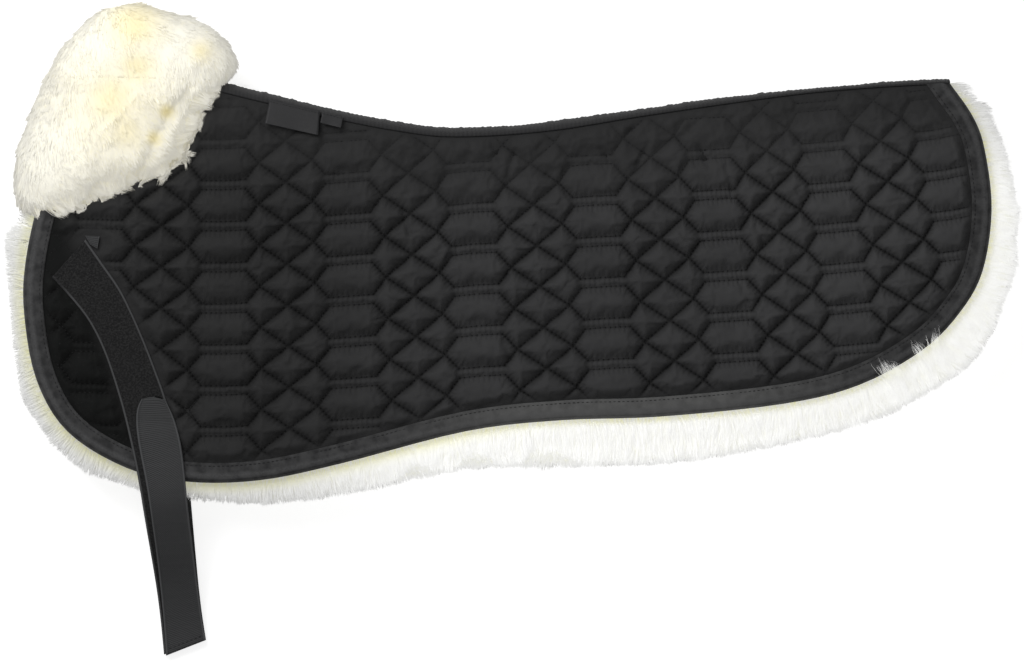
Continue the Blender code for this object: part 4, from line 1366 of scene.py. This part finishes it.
def fleece_lining(prefix, side):
    """The lining's wool: a body, the combed fringe past the bound edge, and the pile inside."""
    outline = inset(wool_outline(), 2.3 * MM)
    bm = trimmed_grid(outline, WOOL_PITCH)
    points = points_of(bm)
    lumps = 0.8 + 0.5 * ripple(points[:, :2], 14 * MM, 31) + 0.35 * ripple(points[:, :2], 6 * MM, 32)
    points[:, 2] = -(1.6 * MM + np.maximum(0, lumps) * MM)
    put(bm, points)
    profile = ((0, -5.9 * MM), (1.2 * MM, -9 * MM), (2.8 * MM, -12 * MM), (5.0 * MM, -WOOL_TOP))
    close_below(bm, outline, profile)
    bmesh.ops.scale(bm, vec=(1, 1, -1), verts=bm.verts)
    bmesh.ops.reverse_faces(bm, faces=bm.faces)
    flat = mesh_of(bm.copy())
    drape_mesh(bm, side)
    wool_body(prefix + "fleece_skin_side", mesh_of(bm), 0.3, unstained, "fringe", prefix + "panel",
              prefix + "fleece_lining")
    tips = smooth_line(WOOL_TIPS, 2)
    count = FRINGE_STRANDS[side]
    for part in ((1, 2) if side == NEAR else (1,)):
        roots, out, from_rim = fringe_roots(outline, count, 40 + part)
        corner = ease(roots[:, 1], 126 * MM, 146 * MM) * (roots[:, 0] > 0)
        out = unit(out * (1 - corner)[:, None] + np.outer(corner, [1, -0.16]))
        to_tip = np.maximum(distance_to(tips, roots[:, :2]), 11.5 * MM * corner)
        falling = (1 - ease(from_rim, 0, 8 * MM)) * np.minimum(1, roots[:, 2] / (8 * MM))
        flow = to_the_right(out) * (0.22 * ripple(roots[:, :2], 34 * MM, 36))[:, None]
        distance, beyond = past_the_tape(roots[:, :2])
        rising = (1 - ease(distance, 1.5 * MM, 8 * MM)) * beyond * (from_rim > 2 * MM)
        stem = np.column_stack([out + flow, 0.16 - 0.34 * falling + 0.9 * rising])
        facing = unit(np.column_stack([out * (0.1 + 0.6 * falling)[:, None], np.full(count, 0.8)]))
        uneven = 1 + 0.05 * ripple(roots[:, :2], 12 * MM, 33)
        lengths = np.clip(to_tip + 1.0 * MM, 5 * MM, 12.5 * MM) * uneven
        droop = np.column_stack([out * 0.2 * rising[:, None], -0.10 - 0.30 * rising])
        made = strands(roots, facing, stem, droop, lengths, 0.28 * MM, 50 + part, 20, 0.2, 0.45)
        kept_off_fold(made)
        pile(f"{prefix}fringe_{part}", made, side, prefix + "panel", "fringe", by_the_tape)

    def inner_face(middles, normals):
        return (normals[:, 2] < -0.5) * 1.0

    roots, normals = scattered(flat, INNER_STRANDS, 44, inner_face)
    sway = 0.5 * ripple(roots[:, :2], 50 * MM, 35)
    lie = np.column_stack([sway, np.full(len(roots), -1.0), np.full(len(roots), -0.5)])
    made = strands(roots, normals, lie, 0 * roots, np.full(len(roots), 8.5 * MM), 0.5 * MM, 55)
    kept_off_fold(made)
    pile(prefix + "inner_pile", made, side, prefix + "panel", "fringe", unstained)


def locks(name, places, ways, count, length, height, seed):
    """Loose locks of wool at a few places, lying each its own way."""
    draw = np.random.default_rng(seed)
    roots = np.tile(np.column_stack([places, np.full(len(places), height)]), (count, 1))
    roots += draw.normal(scale=(1.8 * MM, 1.8 * MM, 0.2 * MM), size=roots.shape)
    stem = np.tile(np.column_stack([unit(ways), np.full(len(ways), 0.05)]), (count, 1))
    facing = np.tile([0, 0, 1.0], (len(roots), 1))
    lengths = length * draw.uniform(0.6, 1.2, len(roots))
    made = strands(roots, facing, stem, 0 * roots, lengths, 0.06 * MM, seed, count, 0.25, 1.6)
    pile(name, made, NEAR, "near_panel", "fringe", unstained)


def slab(outline, low, high):
    bm = bmesh.new()
    face = bm.faces.new([bm.verts.new((*point, low)) for point in outline])
    top = bmesh.ops.extrude_face_region(bm, geom=[face])["geom"]
    for item in top:
        if isinstance(item, bmesh.types.BMVert):
            item.co.z = high
    bmesh.ops.recalc_face_normals(bm, faces=bm.faces)
    return bm


def bmesh_of(mesh):
    bm = bmesh.new()
    bm.from_mesh(mesh)
    return bm


def cut_out(bm, tool, operation="DIFFERENCE"):
    """The first body without the second, or what the two share."""
    body, other = added("body", mesh_of(bm)), added("tool", mesh_of(tool))
    modifier = body.modifiers.new("cut", "BOOLEAN")
    modifier.operation = operation
    modifier.object = other
    made = bmesh_of(made_from(body))
    bpy.data.objects.remove(other)
    return made


def whole_roll():
    """The fleece roll of both sides in one, rounded from a coarse cage and lumpy with wool."""
    rows = np.empty((len(ROLL_RINGS), len(ROLL_OUTLINE) + 1, 3))
    for row, (share, height) in zip(rows, ROLL_RINGS):
        row[:, :2] = closed(ROLL_MIDDLE + (ROLL_OUTLINE - ROLL_MIDDLE) * share)
        row[:, 2] = height * MM
    cage = added("roll_cage", mesh_of(skin(rows)))
    rounded = cage.modifiers.new("rounded", "SUBSURF")
    rounded.levels = rounded.render_levels = 3
    mesh = made_from(cage)
    points = points_of(mesh)
    normals = np.array([vert.normal for vert in mesh.vertices])
    lumps = 0.9 * ripple(points, 34 * MM, 61) + 0.35 * ripple(points, 13 * MM, 62)
    crease = distance_to(smooth_line(ROLL_CREASE, 4), points[:, :2])
    lumps -= 2.6 * np.exp(-((crease / (3.5 * MM)) ** 2)) * (points[:, 2] > 0)
    move(mesh, points + normals * (lumps * MM)[:, None])
    return mesh


def halved(bm, place, normal):
    """Keeps what the normal points towards, and closes the cut."""
    cut(bm, place, normal, clear=True)
    fill_holes(bm)


def above_fold(points):
    """How far points lie past the fold, in plan."""
    return (points[:, :2] - FOLD_FRONT) @ FOLD_NORMAL[:2]


def pommel_roll():
    """The roll's body in three parts, two sides and the crown over the fold, and their strands."""
    whole = whole_roll()
    top = COVER_TOP + 2 * GAP + ROLL_HIDE
    rooms = {NEAR: (-GAP, top), OFF: (-top, GAP)}
    fold_point = np.array([*FOLD_FRONT, 0])

    def without_quilt(bm, side):
        return cut_out(bm, slab(inset(PANEL, -0.4 * MM), *rooms[side]))

    for prefix, side in (("near_", NEAR), ("off_", OFF)):
        bm = bmesh_of(whole)
        halved(bm, (0, 0, side * PRESSED), (0, 0, side))
        halved(bm, tuple(fold_point - FOLD_NORMAL * SLIT), tuple(-FOLD_NORMAL))
        bm = without_quilt(bm, side)
        pressed_pile(prefix, side, mesh_of(bm.copy()))
        roll_piece(prefix + "roll_wool", bm, prefix + "panel", prefix + "roll_fleece")
    bm = bmesh_of(whole)
    halved(bm, tuple(fold_point + FOLD_NORMAL * SLIT), tuple(FOLD_NORMAL))
    bm = without_quilt(without_quilt(bm, NEAR), OFF)
    bend_over_fold(roll_piece("crown_wool", bm, None, "roll_crown"), *ROLL_BEND)

    def near_side(middles, normals):
        steep = 1 + 0.8 * (normals[:, 2] < 0.75)
        return (middles[:, 2] > 0.5 * MM) * (above_fold(middles) < 2 * MM) * steep

    def free_edge(middles, normals):
        rim = distance_to(ROLL_FOOT, middles[:, :2])
        over_quilt = inside(inset(PANEL, -4 * MM), middles[:, :2]) & (above_fold(middles) < -2 * MM)
        low = (middles[:, 2] > 15 * MM) & (middles[:, 2] < 36 * MM)
        return over_quilt * (1 - ease(rim, 8 * MM, 16 * MM)) * low

    def off_side(middles, normals):
        shown = (middles[:, 2] < -0.5 * MM) & (middles[:, 2] > -34 * MM)
        return shown * (above_fold(middles) < 0) * 1.0

    def crown(middles, normals):
        return (above_fold(middles) > -6 * MM) * (0.45 + 0.55 * (middles[:, 2] > -12 * MM))

    fields = (
        ("near_roll_pile_1", 12000, 70, near_side, "near_panel"),
        ("near_roll_pile_2", 12000, 71, near_side, "near_panel"),
        ("near_roll_wisps", 4600, 75, free_edge, "near_panel"),
        ("off_roll_pile", 3500, 72, off_side, "off_panel"),
        ("crown_pile_1", 6800, 73, crown, None),
        ("crown_pile_2", 6800, 74, crown, None),
    )
    for name, count, seed, weight, body in fields:
        roots, normals = scattered(whole, count, seed, weight)
        made = roll_strands(roots, normals, seed, float(name.endswith("wisps")))
        placed = pile(name, made, NEAR, body, "pile", roll_stain)
        if body is None:
            bend_over_fold(placed, *ROLL_BEND)


def pressed_pile(prefix, side, mesh):
    """Flattened wool on the faces of the roll's two sides, which meet while the pad is folded."""
    def meeting_face(middles, normals):
        return (side * normals[:, 2] < -0.9) * (np.abs(middles[:, 2]) < 2 * MM)

    roots, normals = scattered(mesh, MEETING_STRANDS, 76, meeting_face)
    lie = np.tile([0.5, -0.87, -0.16 * side], (len(roots), 1))
    made = strands(roots, normals, lie, 0 * roots, np.full(len(roots), 7 * MM), 0.45 * MM, 77)
    kept_off_fold(made, side)
    pile(prefix + "roll_inner_pile", made, NEAR, prefix + "panel", "pile", roll_stain)


def roll_piece(name, bm, body, node):
    drape_mesh(bm, NEAR)
    keep_above_floor(bm)
    return wool_body(name, mesh_of(bm), 0.6, roll_stain, "pile", body, node)


def roll_stain(places):
    """The yellow hollows of the roll."""
    stain = np.zeros(len(places))
    for across, down, reach, depth in ROLL_HOLLOWS:
        far = ((places - plan(across, down)) ** 2).sum(axis=1)
        stain = np.maximum(stain, depth * np.exp(-far / (reach * MM) ** 2))
    return stain


def roll_strands(roots, normals, seed, wispy):
    """Wool combed flat, one way over the whole roll, or the longer wisps at its free edge."""
    places = roots[:, :2]
    _, _, inwards = nearest_on(ROLL_FOOT, places)
    combed = np.array([0.50, -0.87])
    sway = (0.25 + 0.35 * wispy) * ripple(places, 60 * MM - 42 * MM * wispy, 63)
    lie = combed * (1 - 0.6 * wispy) + to_the_right(combed) * sway[:, None] - inwards * wispy
    lie = np.column_stack([lie, np.zeros(len(roots))])
    lie = unit(lie - normals * (lie * normals).sum(axis=1, keepdims=True))
    uneven = 1 + 0.1 * ripple(places, 18 * MM, 64) + 0.25 * wispy * ripple(places, 9 * MM, 65)
    lengths = (6.4 + 4.6 * wispy) * MM * uneven
    stem = normals * (0.19 + 0.23 * wispy) + lie
    droop = np.column_stack([lie[:, :2] * 0.1, -0.22 * wispy * np.sign(roots[:, 2])])
    locks_of, gather, thickness = (60, 0.62, 0.24 * MM) if wispy else (16, 0.08, 0.42 * MM)
    facing = unit(normals + 0.5 * wispy * np.array([0, 0, 1.0]))
    rooted = roots - normals * 0.8 * MM
    made = strands(rooted, facing, stem, droop, lengths, thickness, seed, locks_of, gather, 0.5)
    points = made[1]
    near_quilt = np.abs(points[..., 2]) < COVER_TOP + PILLOW + 2 * MM
    flat = points[near_quilt]
    over = inside(PANEL, flat[:, :2]) & (above_fold(flat) < 0)
    low = COVER_TOP + 0.5 * MM + pillows(flat[:, :2])
    side = np.broadcast_to(np.sign(roots[:, None, 2]), points.shape[:2])[near_quilt]
    flat[over, 2] = side[over] * np.maximum(flat[over, 2] * side[over], low[over])
    points[near_quilt] = flat
    return made


def roll_hide(prefix, side):
    """The roll's own leather, sewn over the front corner of the quilt."""
    low = COVER_TOP + GAP
    foot = slab(inset(ROLL_FOOT[:-1], 9 * MM), low, low + ROLL_HIDE)
    within_tape = slab(inset(PANEL, 12.8 * MM), low - 1 * MM, low + 3 * MM)
    bm = cut_out(foot, within_tape, "INTERSECT")
    cut_for_draping(bm, lambda: bm.faces)
    drape_mesh(bm, side)
    piece(prefix + "roll_leather", mesh_of(bm), "suede", prefix + "panel", prefix + "roll_hide")


FINISHES = {
    "cotton": cotton(),
    "thread": thread(),
    "binding": binding_tape(),
    "loop": loop_tape_finish(),
    "hook": hook_tape_finish(),
    "webbing": webbing(),
    "tag": tag_cloth(),
    "pile": wool(
        "roll wool", (0.88, 0.84, 0.66), (0.90, 0.87, 0.74), (0.92, 0.90, 0.82), (0.91, 0.79, 0.40),
        glow=0.30,
    ),
    "fringe": wool(
        "combed wool", (0.88, 0.88, 0.78), (0.90, 0.90, 0.87), (0.92, 0.92, 0.91), (0.92, 0.90, 0.52),
        glow=0.47, shade_brightness=0.70,
    ),
    "suede": suede(),
    "wadding": wadding_finish(),
}


def studio():
    """A pale floor, soft light from the upper left, and a long lens straight above."""
    bm = bmesh.new()
    bmesh.ops.create_grid(bm, x_segments=1, y_segments=1, size=6)
    floor = added("floor", mesh_of(bm))
    floor.location.z = -0.02 * MM
    floor.data.materials.append(floor_finish())
    scene = bpy.context.scene
    scene.world = bpy.data.worlds.new("studio light")
    scene.world.use_nodes = True
    sky = scene.world.node_tree.nodes["Background"].inputs
    sky["Color"].default_value = (1, 1, 1, 1)
    sky["Strength"].default_value = 0.34
    key = added("key", bpy.data.lights.new("key", "AREA"))
    key.data.size = 0.7
    key.data.energy = 7.9
    key.location = (-0.56, 0.64, 0.98)
    key.rotation_euler = (-key.location).to_track_quat("-Z", "Y").to_euler()
    camera = added("camera", bpy.data.cameras.new("camera"))
    camera.data.lens = LENS
    camera.data.clip_end = 100
    height = PHOTO_HEIGHT + PHOTO_WIDTH * LENS / camera.data.sensor_width
    camera.location = (*PHOTO_MIDDLE, height)
    scene.camera = camera
    scene.view_settings.view_transform = "Standard"


def panel_side(prefix, side):
    quilted_cover(prefix, side)
    quilting_stitches(prefix, side)
    plain_layer(prefix, side, "wadding_fill", inset(PANEL, WADDING_INSET), WADDING_TOP,
                ((0, WADDING_UNDER),), "wadding", "wadding")
    skived = ((0, HIDE_EDGE_UNDER), (9.3 * MM, HIDE_EDGE_UNDER), (0, HIDE_UNDER))
    plain_layer(prefix, side, "hide_leather", inset(PANEL, BINDING_NOSE), HIDE_TOP, skived,
                "suede", "sheepskin_hide")
    edge_binding(prefix, side)
    fleece_lining(prefix, side)
    roll_hide(prefix, side)
    strap(prefix, side)


studio()
panel_side("near_", NEAR)
panel_side("off_", OFF)
pommel_roll()
spine_band()
tag("label_tag", LABEL_TAG, 0.4)
tag("size_tag", SIZE_TAG, 2.0)
locks("wisps_on_tape", plan((240, -26.5), (233, -27.5), (261, -10.5), (254, -15.5)),
      np.array([(-1.0, 0.55), (-1.0, 0.75), (-0.25, 1.0), (-0.8, 0.75)]),
      count=44, length=12 * MM, height=COVER_TOP + GAP + BINDING + 0.4 * MM, seed=81)
locks("flecks_at_spine", plan((-168, 150.6), (-128, 139.6), (16.7, 128.2), (84.9, 137.8)),
      np.array([(1, -0.25), (1, -0.22), (1, 0.1), (1, 0.15)]),
      count=16, length=4 * MM, height=2 * MM, seed=82)
